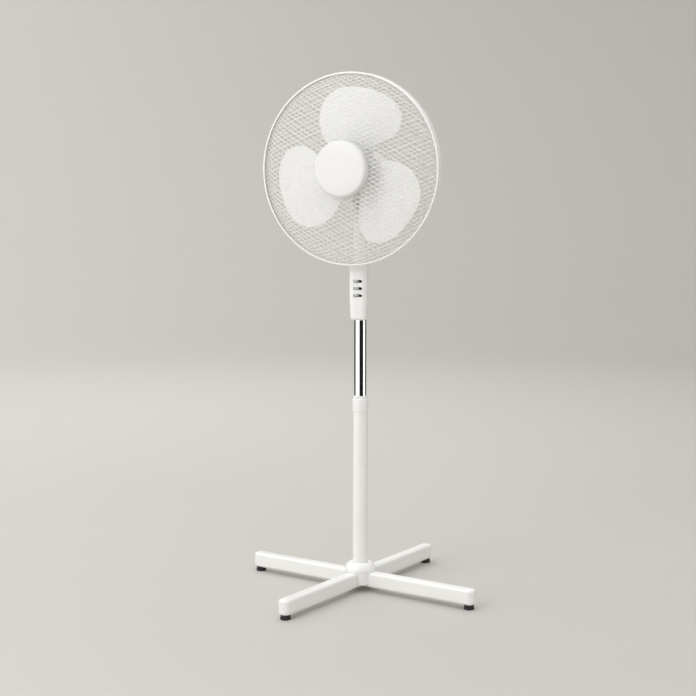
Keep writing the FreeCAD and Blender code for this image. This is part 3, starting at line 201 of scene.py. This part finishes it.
FINISHES = {
    "white_paint": finish_of("white_paint", (0.90, 0.90, 0.885), (0.30, 0.38), 900, 0.03 * MM,
                             coat=0.15),
    "white_plastic": finish_of("white_plastic", (0.90, 0.90, 0.89), (0.36, 0.46), 1600,
                               0.02 * MM),
    "white_gloss": finish_of("white_gloss", (0.93, 0.93, 0.925), (0.26, 0.30), 60, 0.006 * MM,
                             coat=0.1, contrast=0.004),
    # The cap is the blade's white gloss cut darker. This is painted shade for the stronger light
    # on its bare face than on the petals behind the wires.
    "cap_gloss_painted_shade": finish_of("cap_gloss_painted_shade", (0.80, 0.80, 0.795), (0.28, 0.32), 60, 0.004 * MM,
                           coat=0.1, contrast=0.003),
    "chrome": finish_of("chrome", (0.86, 0.87, 0.88), (0.03, 0.07), 500, 0.002 * MM,
                        metallic=1.0, stretch=UPRIGHT),
    "rubber": finish_of("rubber", (0.022, 0.022, 0.023), (0.6, 0.8), 1400, 0.06 * MM,
                        contrast=0.3),
    "button": finish_of("button", (0.32, 0.32, 0.33), (0.08, 0.16), 1200, 0.005 * MM,
                        metallic=1.0),
    "dark_plastic": finish_of("dark_plastic", (0.04, 0.04, 0.042), (0.4, 0.55), 1500,
                              0.03 * MM, contrast=0.2),
    "steel": finish_of("steel", (0.56, 0.57, 0.58), (0.22, 0.4), 700, 0.02 * MM,
                       metallic=1.0),
    "cast_alloy": finish_of("cast_alloy", (0.50, 0.51, 0.52), (0.4, 0.6), 450, 0.12 * MM,
                            metallic=0.9, contrast=0.15),
    "lamination": laminated("lamination"),
    "copper": wound("copper"),
    "gear_plastic": finish_of("gear_plastic", (0.72, 0.68, 0.55), (0.35, 0.5), 1200,
                              0.02 * MM, contrast=0.06),
}


def dress(piece, finish):
    """Gives a piece one finish all over."""
    piece.data.materials.clear()
    piece.data.materials.append(FINISHES[finish])


def dress_frame():
    """Every CAD node takes the finish of its own slot in the record, and the casting that
    carries the motor is painted white."""
    for part in frame["record"]["subparts"]:
        dress(NODES[part["node"]], part["material_slot"])
    dress(NODES["swivel_frame"], "white_paint")


# ---------------------------------------------------------------- mesh helpers

# The largest share of a side that the curve at its corner may take up.
SIDE_SHARE = 0.49
WELD = 1e-7
RIM_SEGMENTS = 240


def place(name, data):
    """A new object in the scene, for a mesh, a light or a camera."""
    thing = bpy.data.objects.new(name, data)
    bpy.context.scene.collection.objects.link(thing)
    return thing


def add_piece(name, mesh, body, slot, replaced, finish=None):
    """Puts a finished mesh in the scene on its body, in place of the nodes it stands for. Its
    finish is its slot's own unless another is named."""
    piece = place(name, mesh)
    dress(piece, finish or slot)
    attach(piece, body)
    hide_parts(*replaced)


def mesh_from(name, work):
    """Turns a bmesh into a smooth-shaded mesh with its faces outwards."""
    bmesh.ops.recalc_face_normals(work, faces=work.faces)
    mesh = bpy.data.meshes.new(name)
    work.to_mesh(mesh)
    work.free()
    mesh.shade_smooth()
    return mesh


def smooth_by_angle(mesh, degrees):
    """Smooth shading, with the edges that turn by more than an angle kept sharp."""
    mesh.shade_smooth()
    work = bmesh.new()
    work.from_mesh(mesh)
    limit = math.radians(degrees)
    for edge in work.edges:
        if len(edge.link_faces) == 2:
            edge.smooth = edge.calc_face_angle(0) < limit
    work.to_mesh(mesh)
    work.free()


def join(work, near, far):
    """Quads all round between two closed rings of equally many points."""
    for k in range(len(near)):
        after = (k + 1) % len(near)
        work.faces.new((near[k], near[after], far[after], far[k]))


def eased(corners, steps=6):
    """A closed outline whose corners (a, b, radius) are each turned into a curve."""
    points = []
    for index, (a, b, radius) in enumerate(corners):
        here = Vector((a, b))
        if radius <= 0:
            points.append(here)
            continue
        before = Vector(corners[index - 1][:2]) - here
        after = Vector(corners[(index + 1) % len(corners)][:2]) - here
        half = before.angle(after) / 2
        reach = min(radius / math.tan(half), before.length * SIDE_SHARE,
                    after.length * SIDE_SHARE)
        start = here + before.normalized() * reach
        end = here + after.normalized() * reach
        for step in range(steps + 1):
            share = step / steps
            points.append(start * (1 - share) ** 2 + here * (2 * share * (1 - share))
                          + end * share**2)
    return points


def lathe(name, corners, segments=160):
    """Turns a closed outline of (radius, ahead, corner radius) about the fan's axis."""
    outline = eased(corners)
    work = bmesh.new()
    rings = []
    for turn in range(segments):
        angle = 2 * math.pi * turn / segments
        rings.append([
            work.verts.new(in_head(p.x * math.cos(angle), p.x * math.sin(angle), p.y))
            for p in outline
        ])
    for turn, ring in enumerate(rings):
        join(work, ring, rings[(turn + 1) % segments])
    bmesh.ops.remove_doubles(work, verts=work.verts, dist=WELD)
    return mesh_from(name, work)


# ---------------------------------------------------------------- guards

WIRE = 0.82 * MM
WIRE_SIDES = 6
WIRE_STEPS = 44
MESH_RIM = 209 * MM
# The outer and the inner family of wires, in degrees from level.
MESH_ANGLES = (20.6, -31.0)
# A wire is left out where it would run closer to the rim than this share of the pitch.
RIM_GAP = 0.3
DOME_STEPS = 400
LIP = 4 * MM


def add_wire(work, points):
    """A round wire through points, with flat ends."""
    rings = []
    across = None
    for index, point in enumerate(points):
        way = (points[min(index + 1, len(points) - 1)] - points[max(index - 1, 0)]).normalized()
        across = (across or way.orthogonal()).cross(way).cross(way).normalized() * -1
        other = way.cross(across)
        rings.append([
            work.verts.new(point + (across * math.cos(2 * math.pi * k / WIRE_SIDES)
                                    + other * math.sin(2 * math.pi * k / WIRE_SIDES)) * WIRE)
            for k in range(WIRE_SIDES)
        ])
    for near, far in zip(rings, rings[1:]):
        join(work, near, far)
    work.faces.new(rings[0])
    work.faces.new(rings[-1])


class Dome:
    """A guard's side view: a shallow crown and a rounded shoulder down to the rim."""

    def __init__(self, crown, crown_ahead, apex, rim_ahead):
        """crown is the crown's radius; the other three say how far forwards the crown's edge,
        its middle and the rim are."""
        self.crown = crown
        self.crown_ahead = crown_ahead
        self.apex = apex
        self.rim_ahead = rim_ahead
        self.radii = [MESH_RIM * step / DOME_STEPS for step in range(DOME_STEPS + 1)]
        self.lengths = [0.0]
        for inner, outer in zip(self.radii, self.radii[1:]):
            climb = self.ahead(outer) - self.ahead(inner)
            self.lengths.append(self.lengths[-1] + math.hypot(outer - inner, climb))

    def ahead(self, radius):
        """How far forwards the surface is at a radius."""
        if radius <= self.crown:
            return self.apex + (self.crown_ahead - self.apex) * (radius / self.crown) ** 2
        share = (radius - self.crown) / (MESH_RIM - self.crown)
        slope = 2 * (self.crown_ahead - self.apex) / self.crown * (MESH_RIM - self.crown)
        fall = self.rim_ahead - self.crown_ahead
        return self.crown_ahead + slope * share + (fall - slope) * share**2

    def radius_at(self, length):
        """The radius that a flat sheet's radius reaches once it is drawn over the dome."""
        low = min(bisect_right(self.lengths, length) - 1, DOME_STEPS - 1)
        share = (length - self.lengths[low]) / (self.lengths[low + 1] - self.lengths[low])
        return self.radii[low] + (self.radii[low + 1] - self.radii[low]) * min(share, 1.0)


def strands_of(dome, offset, hole, turn, lift):
    """The runs of points along one line of the flat sheet, drawn over the dome and broken where
    the line crosses the hole in its middle."""
    reach = math.sqrt(dome.lengths[-1]**2 - offset**2)
    strands = [[]]
    for step in range(WIRE_STEPS + 1):
        flat = Vector((reach * (2 * step / WIRE_STEPS - 1), offset))
        radius = dome.radius_at(flat.length)
        if radius >= hole:
            spot = turn @ (flat.normalized() * radius)
            strands[-1].append(in_head(spot.x, spot.y, dome.ahead(radius) + lift))
        elif strands[-1]:
            strands.append([])
    return strands


def guard_wires(name, dome, pitch, hole, replaced):
    """Two crossing families of wires, evenly spaced on the flat sheet and drawn over the dome."""
    work = bmesh.new()
    length = dome.lengths[-1]
    count = int(length / pitch)
    for layer, degrees in zip((1, -1), MESH_ANGLES):
        turn = Matrix.Rotation(math.radians(degrees), 2)
        for line in range(-count, count + 1):
            offset = (line + 0.5) * pitch
            if abs(offset) > length - pitch * RIM_GAP:
                continue
            for strand in strands_of(dome, offset, hole, turn, layer * WIRE):
                if len(strand) > 1:
                    add_wire(work, strand)
    add_piece(name, mesh_from(name, work), "head", "white_paint", replaced)


def make_guards():
    """The two domes of crossed wires, and the flat ring that each is welded to."""
    front = Dome(crown=166 * MM, crown_ahead=85 * MM, apex=97 * MM, rim_ahead=57 * MM)
    rear = Dome(crown=173 * MM, crown_ahead=27 * MM, apex=22.3 * MM, rim_ahead=52 * MM)
    guard_wires("front_guard_wires", front, 9.3 * MM, 0.0, ("front_guard_mesh",))
    guard_wires("rear_guard_wires", rear, 15 * MM, 51 * MM, ("rear_guard_mesh",))
    inside, outside = BAND_RADIUS - LIP, BAND_RADIUS - 2 * MM
    gap, depth = 0.2 * MM, 3.4 * MM
    soft = 0.6 * MM
    for name, near, far in (("front_guard_rim", BAND_MIDDLE + gap, BAND_MIDDLE + depth),
                            ("rear_guard_rim", BAND_MIDDLE - depth, BAND_MIDDLE - gap)):
        ring = lathe(f"{name}_ring", [
            (inside, near, soft), (outside, near, soft),
            (outside, far, soft), (inside, far, soft),
        ], RIM_SEGMENTS)
        add_piece(f"{name}_ring", ring, "head", "white_paint", (name,))


def make_band():
    """The ring that clamps the two guards: a rounded channel with a shallow groove round it."""
    lip = BAND_RADIUS - LIP
    wall = 1.8 * MM
    inner = BAND_RADIUS - wall
    shoulder = 3.2 * MM
    groove, groove_depth = 1.1 * MM, 0.7 * MM
    mesh = lathe("closing_band", [
        (lip, BAND_BACK, 0.5 * MM),
        (BAND_RADIUS, BAND_BACK, shoulder),
        (BAND_RADIUS, BAND_MIDDLE - groove, 0.4 * MM),
        (BAND_RADIUS - groove_depth, BAND_MIDDLE, 0.5 * MM),
        (BAND_RADIUS, BAND_MIDDLE + groove, 0.4 * MM),
        (BAND_RADIUS, BAND_FRONT, shoulder),
        (lip, BAND_FRONT, 0.5 * MM),
        (lip, BAND_FRONT - wall, 0.3 * MM),
        (inner, BAND_FRONT - wall, 1.0 * MM),
        (inner, BAND_BACK + wall, 1.0 * MM),
        (lip, BAND_BACK + wall, 0.3 * MM),
    ], RIM_SEGMENTS)
    add_piece("closing_band", mesh, "head", "white_plastic", ("rim_band",))


def make_badge():
    """The plain cap over the middle of the guard: a crowned face with a soft edge."""
    skirt = 2.2 * MM
    crown = 1.4 * MM
    edge = 0.6 * MM
    inner = BADGE_RADIUS - skirt
    mesh = lathe("centre_cap", [
        (0.0, BADGE_FRONT, 0),
        (BADGE_RADIUS * 0.55, BADGE_FRONT - crown * 0.35, 12 * MM),
        (BADGE_RADIUS, BADGE_FRONT - crown, 9 * MM),
        (BADGE_RADIUS, BADGE_BACK, edge),
        (inner, BADGE_BACK, edge),
        (inner, BADGE_FRONT - crown - skirt, 6 * MM),
        (0.0, BADGE_FRONT - skirt - crown, 0),
    ])
    # The cap wears a darkened copy of the blade's white gloss, which is painted shade.
    add_piece("centre_cap", mesh, "head", "white_gloss", ("badge",), "cap_gloss_painted_shade")


# ---------------------------------------------------------------- blade

# The petal's two edges from the fan's axis outwards: (radius in mm, trailing edge's angle,
# leading edge's angle), in degrees from the fan's right.
PETAL = (
    (23, 64, 140), (50, 51.5, 135), (75, 43, 133), (100, 38.2, 130.6), (120, 36.4, 126.4),
    (135, 37.3, 122.4), (148, 39.6, 118.2), (158, 42, 114.4), (166, 45, 110.4),
    (172, 49, 106.4), (176.5, 53.6, 102.4), (179.5, 58.5, 98.2), (180.7, 64, 94),
)
PETAL_COUNT = 3
PETAL_ROW_STEPS = 4
PETAL_COLUMNS = 40
PETAL_HALF = 1 * MM
# The petal's pitch: the angle of its middle and the span from there, in degrees; then, in mm, how
# far forwards its middle is and how much it gains over that span.
PITCH_MIDDLE, PITCH_SPAN = 84, 60
PITCH_AHEAD, PITCH_GAIN = 50, 14
# The camber in mm, and how fast it falls off over the same span.
CAMBER, CAMBER_FALL = 5, 1.4
# The petal's edge keeps this share of the thickness. It is rounded over this many mm at the
# sides and this many rows at the tip.
EDGE_SHARE = 0.25
EDGE_WIDTH = 1.6
TIP_ROWS = 3
# Inside this radius the petal thickens towards the hub, by its own thickness over this reach,
# both in mm.
ROOT_RADIUS, ROOT_REACH = 60, 40


def petal_height(angle):
    """The petal's front face at an angle in degrees: pitched, with a little camber."""
    share = (angle - PITCH_MIDDLE) / PITCH_SPAN
    return (PITCH_AHEAD + PITCH_GAIN * share + CAMBER * (1 - CAMBER_FALL * share**2)) * MM


def smooth_table(table, steps):
    """A table resampled along Catmull-Rom curves through its rows."""
    rows = [table[0], *table, table[-1]]
    out = []
    for index in range(1, len(rows) - 2):
        for step in range(steps):
            t = step / steps
            out.append(tuple(
                0.5 * (2 * b + (c - a) * t + (2 * a - 5 * b + 4 * c - d) * t**2
                       + (3 * b - a - 3 * c + d) * t**3)
                for a, b, c, d in zip(*rows[index - 1:index + 3])))
    out.append(tuple(float(value) for value in table[-1]))
    return out


def petal_skin(work, rows, turn, face):
    """The front (face 1) or back (face -1) of a petal, as rows of points from root to tip."""
    skin = []
    for number, (radius, trailing, leading) in enumerate(rows):
        from_tip = len(rows) - 1 - number
        line = []
        for column in range(PETAL_COLUMNS + 1):
            share = 0.5 - 0.5 * math.cos(math.pi * column / PETAL_COLUMNS)
            angle = trailing + (leading - trailing) * share
            edge = min(share, 1 - share) * (leading - trailing) * math.pi / 180 * radius
            closing = min(edge / EDGE_WIDTH, from_tip / TIP_ROWS, 1)
            rounded = math.sqrt(1 - (1 - closing) ** 2)
            half = (EDGE_SHARE + (1 - EDGE_SHARE) * rounded) * PETAL_HALF
            half *= 1 + max(0.0, (ROOT_RADIUS - radius) / ROOT_REACH)
            around = math.radians(angle + turn)
            line.append(work.verts.new(in_head(
                radius * MM * math.cos(around), radius * MM * math.sin(around),
                petal_height(angle) - PETAL_HALF + face * half)))
        skin.append(line)
    return skin


def add_petal(work, turn):
    """One petal: two skins that close in a rounded edge, thicker at the root."""
    rows = smooth_table(PETAL, PETAL_ROW_STEPS)
    front, back = (petal_skin(work, rows, turn, face) for face in (1, -1))
    last = len(rows) - 1
    for i in range(last):
        for k in range(PETAL_COLUMNS):
            work.faces.new((front[i][k], front[i + 1][k], front[i + 1][k + 1], front[i][k + 1]))
            work.faces.new((back[i][k], back[i][k + 1], back[i + 1][k + 1], back[i + 1][k]))
        for k in (0, PETAL_COLUMNS):
            work.faces.new((front[i][k], back[i][k], back[i + 1][k], front[i + 1][k]))
    for k in range(PETAL_COLUMNS):
        for i in (0, last):
            work.faces.new((front[i][k], front[i][k + 1], back[i][k + 1], back[i][k]))


def make_blade():
    """Three broad petals moulded with a cup-shaped hub."""
    hub, boss, bore = 27 * MM, 8 * MM, 4.05 * MM
    back, ahead = 36 * MM, 74 * MM
    wall = 2.5 * MM
    boss_back = back + 4 * MM
    mesh = lathe("blade_wheel", [
        (bore, ahead, 0.3 * MM),
        (hub, ahead, 4 * MM),
        (hub, back, 0.6 * MM),
        (hub - wall, back, 0.6 * MM),
        (hub - wall, ahead - wall, 2 * MM),
        (boss, ahead - wall, 1 * MM),
        (boss, boss_back, 0.5 * MM),
        (bore, boss_back, 0.3 * MM),
    ])
    work = bmesh.new()
    work.from_mesh(mesh)
    for petal in range(PETAL_COUNT):
        add_petal(work, petal * 360 / PETAL_COUNT)
    add_piece("blade_wheel", mesh_from("blade_wheel", work), "rotor", "white_gloss",
              ("fan_blade",))


# ---------------------------------------------------------------- control box

BOX_TURN = Matrix.Rotation(math.radians(12), 4, "Z")
BOX_LOW, BOX_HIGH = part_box("control_box_front")
BOX_HALF = 20.5 * MM
BOX_HALF_LOW = 18 * MM
BOX_TAPER = 665 * MM
BOX_FRONT = 31 * MM
BOX_WALL = 2.5 * MM
BOX_CORNER, BOX_BEND = 6 * MM, 60 * MM
# The soft shoulder round the box's face: its width at the sides, its depth, and its width at
# the top and the bottom.
SOFT = 12 * MM
SOFT_DEPTH = SOFT * 0.9
SOFT_ENDS = SOFT * 0.55
SOFT_STEPS = 12
BOX_SHARP = 35

CUT_REACH = 8 * MM
CUT_SIDES = 96
NECK_RADIUS = 16.6 * MM
TUBE_RADIUS = 14.2 * MM

BUTTONS = (1, 2, 3)
BUTTON_END = 7 * MM
BUTTON_RADIUS = 3 * MM
BUTTON_STEPS = 24
BUTTON_SHARP = 50
SLOT_GAP = 0.35 * MM
SLOT_STEPS = 32
# A button's cap from its stem outwards: (share of its outline, mm behind the box's face).
CAP = (
    (1.0, 5.5), (1.0, 0.0), (1.0, -0.75), (0.97, -1.05), (0.9, -1.25), (0.75, -1.35),
    (0.5, -1.45), (0.25, -1.5),
)
CAP_CROWN = 0.9 * MM


def box_outline(inset):
    """The box from the front, (side, height): tapered at the bottom, with round corners."""
    high, low = BOX_HIGH.z - inset, BOX_LOW.z + inset
    half, foot = BOX_HALF - inset, BOX_HALF_LOW - inset
    return eased([
        (foot, low, BOX_CORNER), (half, BOX_TAPER, BOX_BEND), (half, high, BOX_CORNER),
        (-half, high, BOX_CORNER), (-half, BOX_TAPER, BOX_BEND), (-foot, low, BOX_CORNER),
    ], steps=8)


def box_layers(inset, front):
    """Outlines from the joint between the shells to the front, drawn in over a soft shoulder."""
    outline = box_outline(inset)
    middle = (BOX_LOW.z + BOX_HIGH.z) / 2
    tall = (BOX_HIGH.z - BOX_LOW.z) / 2
    layers = [(0.0, [(p.x, p.y) for p in outline])]
    for step in range(SOFT_STEPS + 1):
        angle = math.pi / 2 * step / SOFT_STEPS
        drawn = 1 - math.cos(angle)
        across = 1 - (SOFT - inset) * drawn / BOX_HALF
        along = 1 - SOFT_ENDS * drawn / tall
        ahead = front - SOFT_DEPTH + SOFT_DEPTH * math.sin(angle)
        layers.append((-ahead, [(p.x * across, middle + (p.y - middle) * along)
                                for p in outline]))
    return layers


def button_height(index):
    """The height of a button's middle."""
    low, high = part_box(f"speed_button_{index}")
    return (low.z + high.z) / 2


def pill(radius, steps):
    """A pill's outline, (side, height) from its middle."""
    points = []
    for end, start in ((BUTTON_END, -math.pi / 2), (-BUTTON_END, math.pi / 2)):
        for step in range(steps + 1):
            angle = math.pi * step / steps + start
            points.append((end + radius * math.cos(angle), radius * math.sin(angle)))
    return points


def slot_cutter(height):
    """A pill-shaped prism through the box's front, for a button's slot."""
    work = bmesh.new()
    near, far = (
        [work.verts.new((side, depth, height + rise))
         for side, rise in pill(BUTTON_RADIUS + SLOT_GAP, SLOT_STEPS)]
        for depth in (-BOX_FRONT - CUT_REACH, -BOX_FRONT + CUT_REACH)
    )
    join(work, near, far)
    work.faces.new(near)
    work.faces.new(far)
    return work


def tube_cutter(radius, height):
    """An upright cylinder through the box's top or bottom."""
    low, high = height - CUT_REACH, height + CUT_REACH
    work = bmesh.new()
    bmesh.ops.create_cone(work, cap_ends=True, segments=CUT_SIDES, radius1=radius,
                          radius2=radius, depth=high - low)
    bmesh.ops.translate(work, verts=work.verts, vec=(0, 0, (low + high) / 2))
    return work


def cut(mesh, cutter):
    """Cuts a closed cutter out of a closed mesh."""
    base = place("cut_base", mesh)
    tool = place("cut_tool", mesh_from("cut_tool", cutter))
    modifier = base.modifiers.new("cut", "BOOLEAN")
    modifier.object = tool
    modifier.solver = "EXACT"
    view = bpy.context.evaluated_depsgraph_get()
    result = bpy.data.meshes.new_from_object(base.evaluated_get(view))
    for thing in (base, tool):
        bpy.data.objects.remove(thing)
    return result


def make_box_front():
    """The control box's front shell: one soft face with three button slots."""
    work = bmesh.new()
    skins = []
    for inset, front in ((0.0, BOX_FRONT), (BOX_WALL, BOX_FRONT - BOX_WALL)):
        skins.append([[work.verts.new((x, y, z)) for x, z in outline]
                      for y, outline in box_layers(inset, front)])
    for skin in skins:
        for near, far in zip(skin, skin[1:]):
            join(work, near, far)
        work.faces.new(skin[-1])
    outer, inner = skins
    join(work, outer[0], inner[0])
    mesh = mesh_from("box_front_shell", work)
    for index in BUTTONS:
        mesh = cut(mesh, slot_cutter(button_height(index)))
    mesh = cut(mesh, tube_cutter(NECK_RADIUS, BOX_HIGH.z))
    mesh = cut(mesh, tube_cutter(TUBE_RADIUS, BOX_LOW.z))
    mesh.transform(BOX_TURN)
    smooth_by_angle(mesh, BOX_SHARP)
    add_piece("box_front_shell", mesh, "column", "white_plastic", ("control_box_front",))


def make_buttons():
    """Pill-shaped caps, crowned along their length, each on its own stem."""
    half_length = BUTTON_END + BUTTON_RADIUS
    for index in BUTTONS:
        height = button_height(index)
        work = bmesh.new()
        rings = []
        for share, behind in CAP:
            crown = CAP_CROWN if behind < 0 else 0.0
            rings.append([
                work.verts.new((x * share,
                                -BOX_FRONT + behind * MM + crown * (x * share / half_length)**2,
                                height + z * share))
                for x, z in pill(BUTTON_RADIUS, BUTTON_STEPS)
            ])
        for near, far in zip(rings, rings[1:]):
            join(work, near, far)
        work.faces.new(rings[0])
        work.faces.new(rings[-1])
        mesh = mesh_from(f"button_cap_{index}", work)
        mesh.transform(BOX_TURN)
        smooth_by_angle(mesh, BUTTON_SHARP)
        add_piece(f"button_cap_{index}", mesh, f"speed_button_{index}", "button",
                  (f"speed_button_{index}",))


# ---------------------------------------------------------------- stage, light and camera

VIEW_AZIMUTH = math.radians(24.87)
VIEW_DISTANCE = 3.3237
VIEW_HEIGHT = 0.9378
VIEW_ASIDE = -0.0281
VIEW_PITCH = math.radians(5.02)
SENSOR = 36
LENS = 76.55
SHIFT = -0.0575

STAGE_TONE = (0.55, 0.535, 0.51)
STAGE_RADIUS = 7.0
STAGE_HEIGHT = 5.0
STAGE_SIDES = 96
COVE = 2.5
COVE_STEPS = 12

CARD_HEIGHT = 1.25
# Name, first and last azimuth in degrees from the view's own, tone, glow, distance.
CARDS = (
    ("dark_card", -17, 50, 0.004, 0.0, 2.3),
    ("right_panel", 54, 93, 0.8, 0.75, 2.3),
    ("right_dark_card", 97, 130, 0.01, 0.0, 2.3),
    ("left_panel", -62, -20, 0.8, 0.85, 2.3),
    ("far_left_panel", -97, -67, 0.8, 0.95, 2.3),
    ("left_dark_card", -138, -100, 0.03, 0.0, 2.3),
    ("back_dark_card", 186, 232, 0.02, 0.0, 1.4),
)

# Name, azimuth in degrees from the view's own, distance, height, width, depth, power in watts.
# These all face the fan's middle.
LIGHTS = (
    ("key", -45, 3.2, 2.0, 1.8, 2.4, 46),
    ("front", 12, 4.2, 2.2, 3.0, 2.0, 26),
    ("fill", 80, 3.6, 1.6, 1.6, 2.2, 8),
    ("side", -100, 3.2, 1.5, 1.6, 2.2, 16),
    ("back", 190, 3.4, 2.8, 2.0, 1.5, 16),
)
FAN_MIDDLE = Vector((0, 0, 0.75))
WORLD_TONE = (1.0, 0.99, 0.97)
WORLD_STRENGTH = 0.72


def facing(azimuth):
    """The level way from the fan to a point at an azimuth."""
    return Vector((math.sin(azimuth), -math.cos(azimuth), 0))


def make_stage():
    """A round pale floor that curves up into a wall all the way round."""
    outline = [Vector((STAGE_RADIUS - COVE, 0.0))]
    for step in range(1, COVE_STEPS + 1):
        angle = math.pi / 2 * step / COVE_STEPS
        outline.append(Vector((STAGE_RADIUS - COVE + COVE * math.sin(angle),
                               COVE - COVE * math.cos(angle))))
    outline.append(Vector((STAGE_RADIUS, STAGE_HEIGHT)))
    work = bmesh.new()
    rings = [[work.verts.new((p.x * math.cos(2 * math.pi * k / STAGE_SIDES),
                              p.x * math.sin(2 * math.pi * k / STAGE_SIDES), p.y))
              for k in range(STAGE_SIDES)] for p in outline]
    work.faces.new(rings[0])
    for low, high in zip(rings, rings[1:]):
        join(work, low, high)
    stage = place("stage", mesh_from("stage", work))
    stage.data.materials.append(plain("stage_paint", STAGE_TONE, rough=0.9))


def make_card(name, first, last, tone, glow, away):
    """An upright card that only reflections see, for the bands in the chrome. It stands on the
    floor between two azimuths, in degrees from the view's own."""
    work = bmesh.new()
    start, end = (facing(VIEW_AZIMUTH + math.radians(edge)) * away for edge in (first, last))
    work.faces.new([work.verts.new(foot + Vector((0, 0, rise)))
                    for foot, rise in ((start, 0.0), (end, 0.0), (end, CARD_HEIGHT),
                                       (start, CARD_HEIGHT))])
    card = place(name, mesh_from(name, work))
    card.data.materials.append(plain(name, (tone, tone, tone), rough=1.0, glow=glow))
    card.visible_camera = False
    card.visible_diffuse = False
    card.visible_shadow = False


def make_light(name, azimuth, distance, height, width, depth, power, target):
    """A soft rectangular light at an azimuth, aimed at a target and hidden from the camera."""
    light = bpy.data.lights.new(name, "AREA")
    light.shape = "RECTANGLE"
    light.size = width
    light.size_y = depth
    light.energy = power
    lamp = place(name, light)
    lamp.location = facing(azimuth) * distance + Vector((0, 0, height))
    lamp.rotation_mode = "QUATERNION"
    lamp.rotation_quaternion = (target - lamp.location).to_track_quat("-Z", "Y")
    lamp.visible_camera = False


def make_lights():
    """Soft lights all round and above, one on the wall behind, the cards and the world."""
    for name, azimuth, *settings in LIGHTS:
        make_light(name, VIEW_AZIMUTH + math.radians(azimuth), *settings, FAN_MIDDLE)
    make_light("top", 0.0, distance=0.01, height=4.4, width=4.5, depth=4.5, power=52,
               target=Vector((0, 0, 0)))
    wall = facing(VIEW_AZIMUTH + math.radians(205)) * STAGE_RADIUS
    make_light("wash", VIEW_AZIMUTH + math.radians(228), distance=3.5, height=4.6, width=2.6,
               depth=1.0, power=130, target=wall + Vector((0, 0, 1.8)))
    for settings in CARDS:
        make_card(*settings)
    world = bpy.data.worlds.new("room")
    world.use_nodes = True
    background = world.node_tree.nodes["Background"]
    background.inputs["Color"].default_value = (*WORLD_TONE, 1)
    background.inputs["Strength"].default_value = WORLD_STRENGTH
    bpy.context.scene.world = world


def make_camera():
    """The camera: to the right of the fan's front, above its middle and looking slightly down."""
    data = bpy.data.cameras.new("camera")
    data.sensor_width = SENSOR
    data.lens = LENS
    data.shift_y = SHIFT
    camera = place("camera", data)
    right = Vector((math.cos(VIEW_AZIMUTH), math.sin(VIEW_AZIMUTH), 0))
    camera.location = (facing(VIEW_AZIMUTH) * VIEW_DISTANCE + right * VIEW_ASIDE
                       + Vector((0, 0, VIEW_HEIGHT)))
    camera.rotation_euler = (math.pi / 2 - VIEW_PITCH, 0, VIEW_AZIMUTH)
    bpy.context.scene.camera = camera
    bpy.context.scene.view_settings.view_transform = "Standard"


dress_frame()
make_guards()
make_band()
make_badge()
make_blade()
make_box_front()
make_buttons()
make_stage()
make_lights()
make_camera()
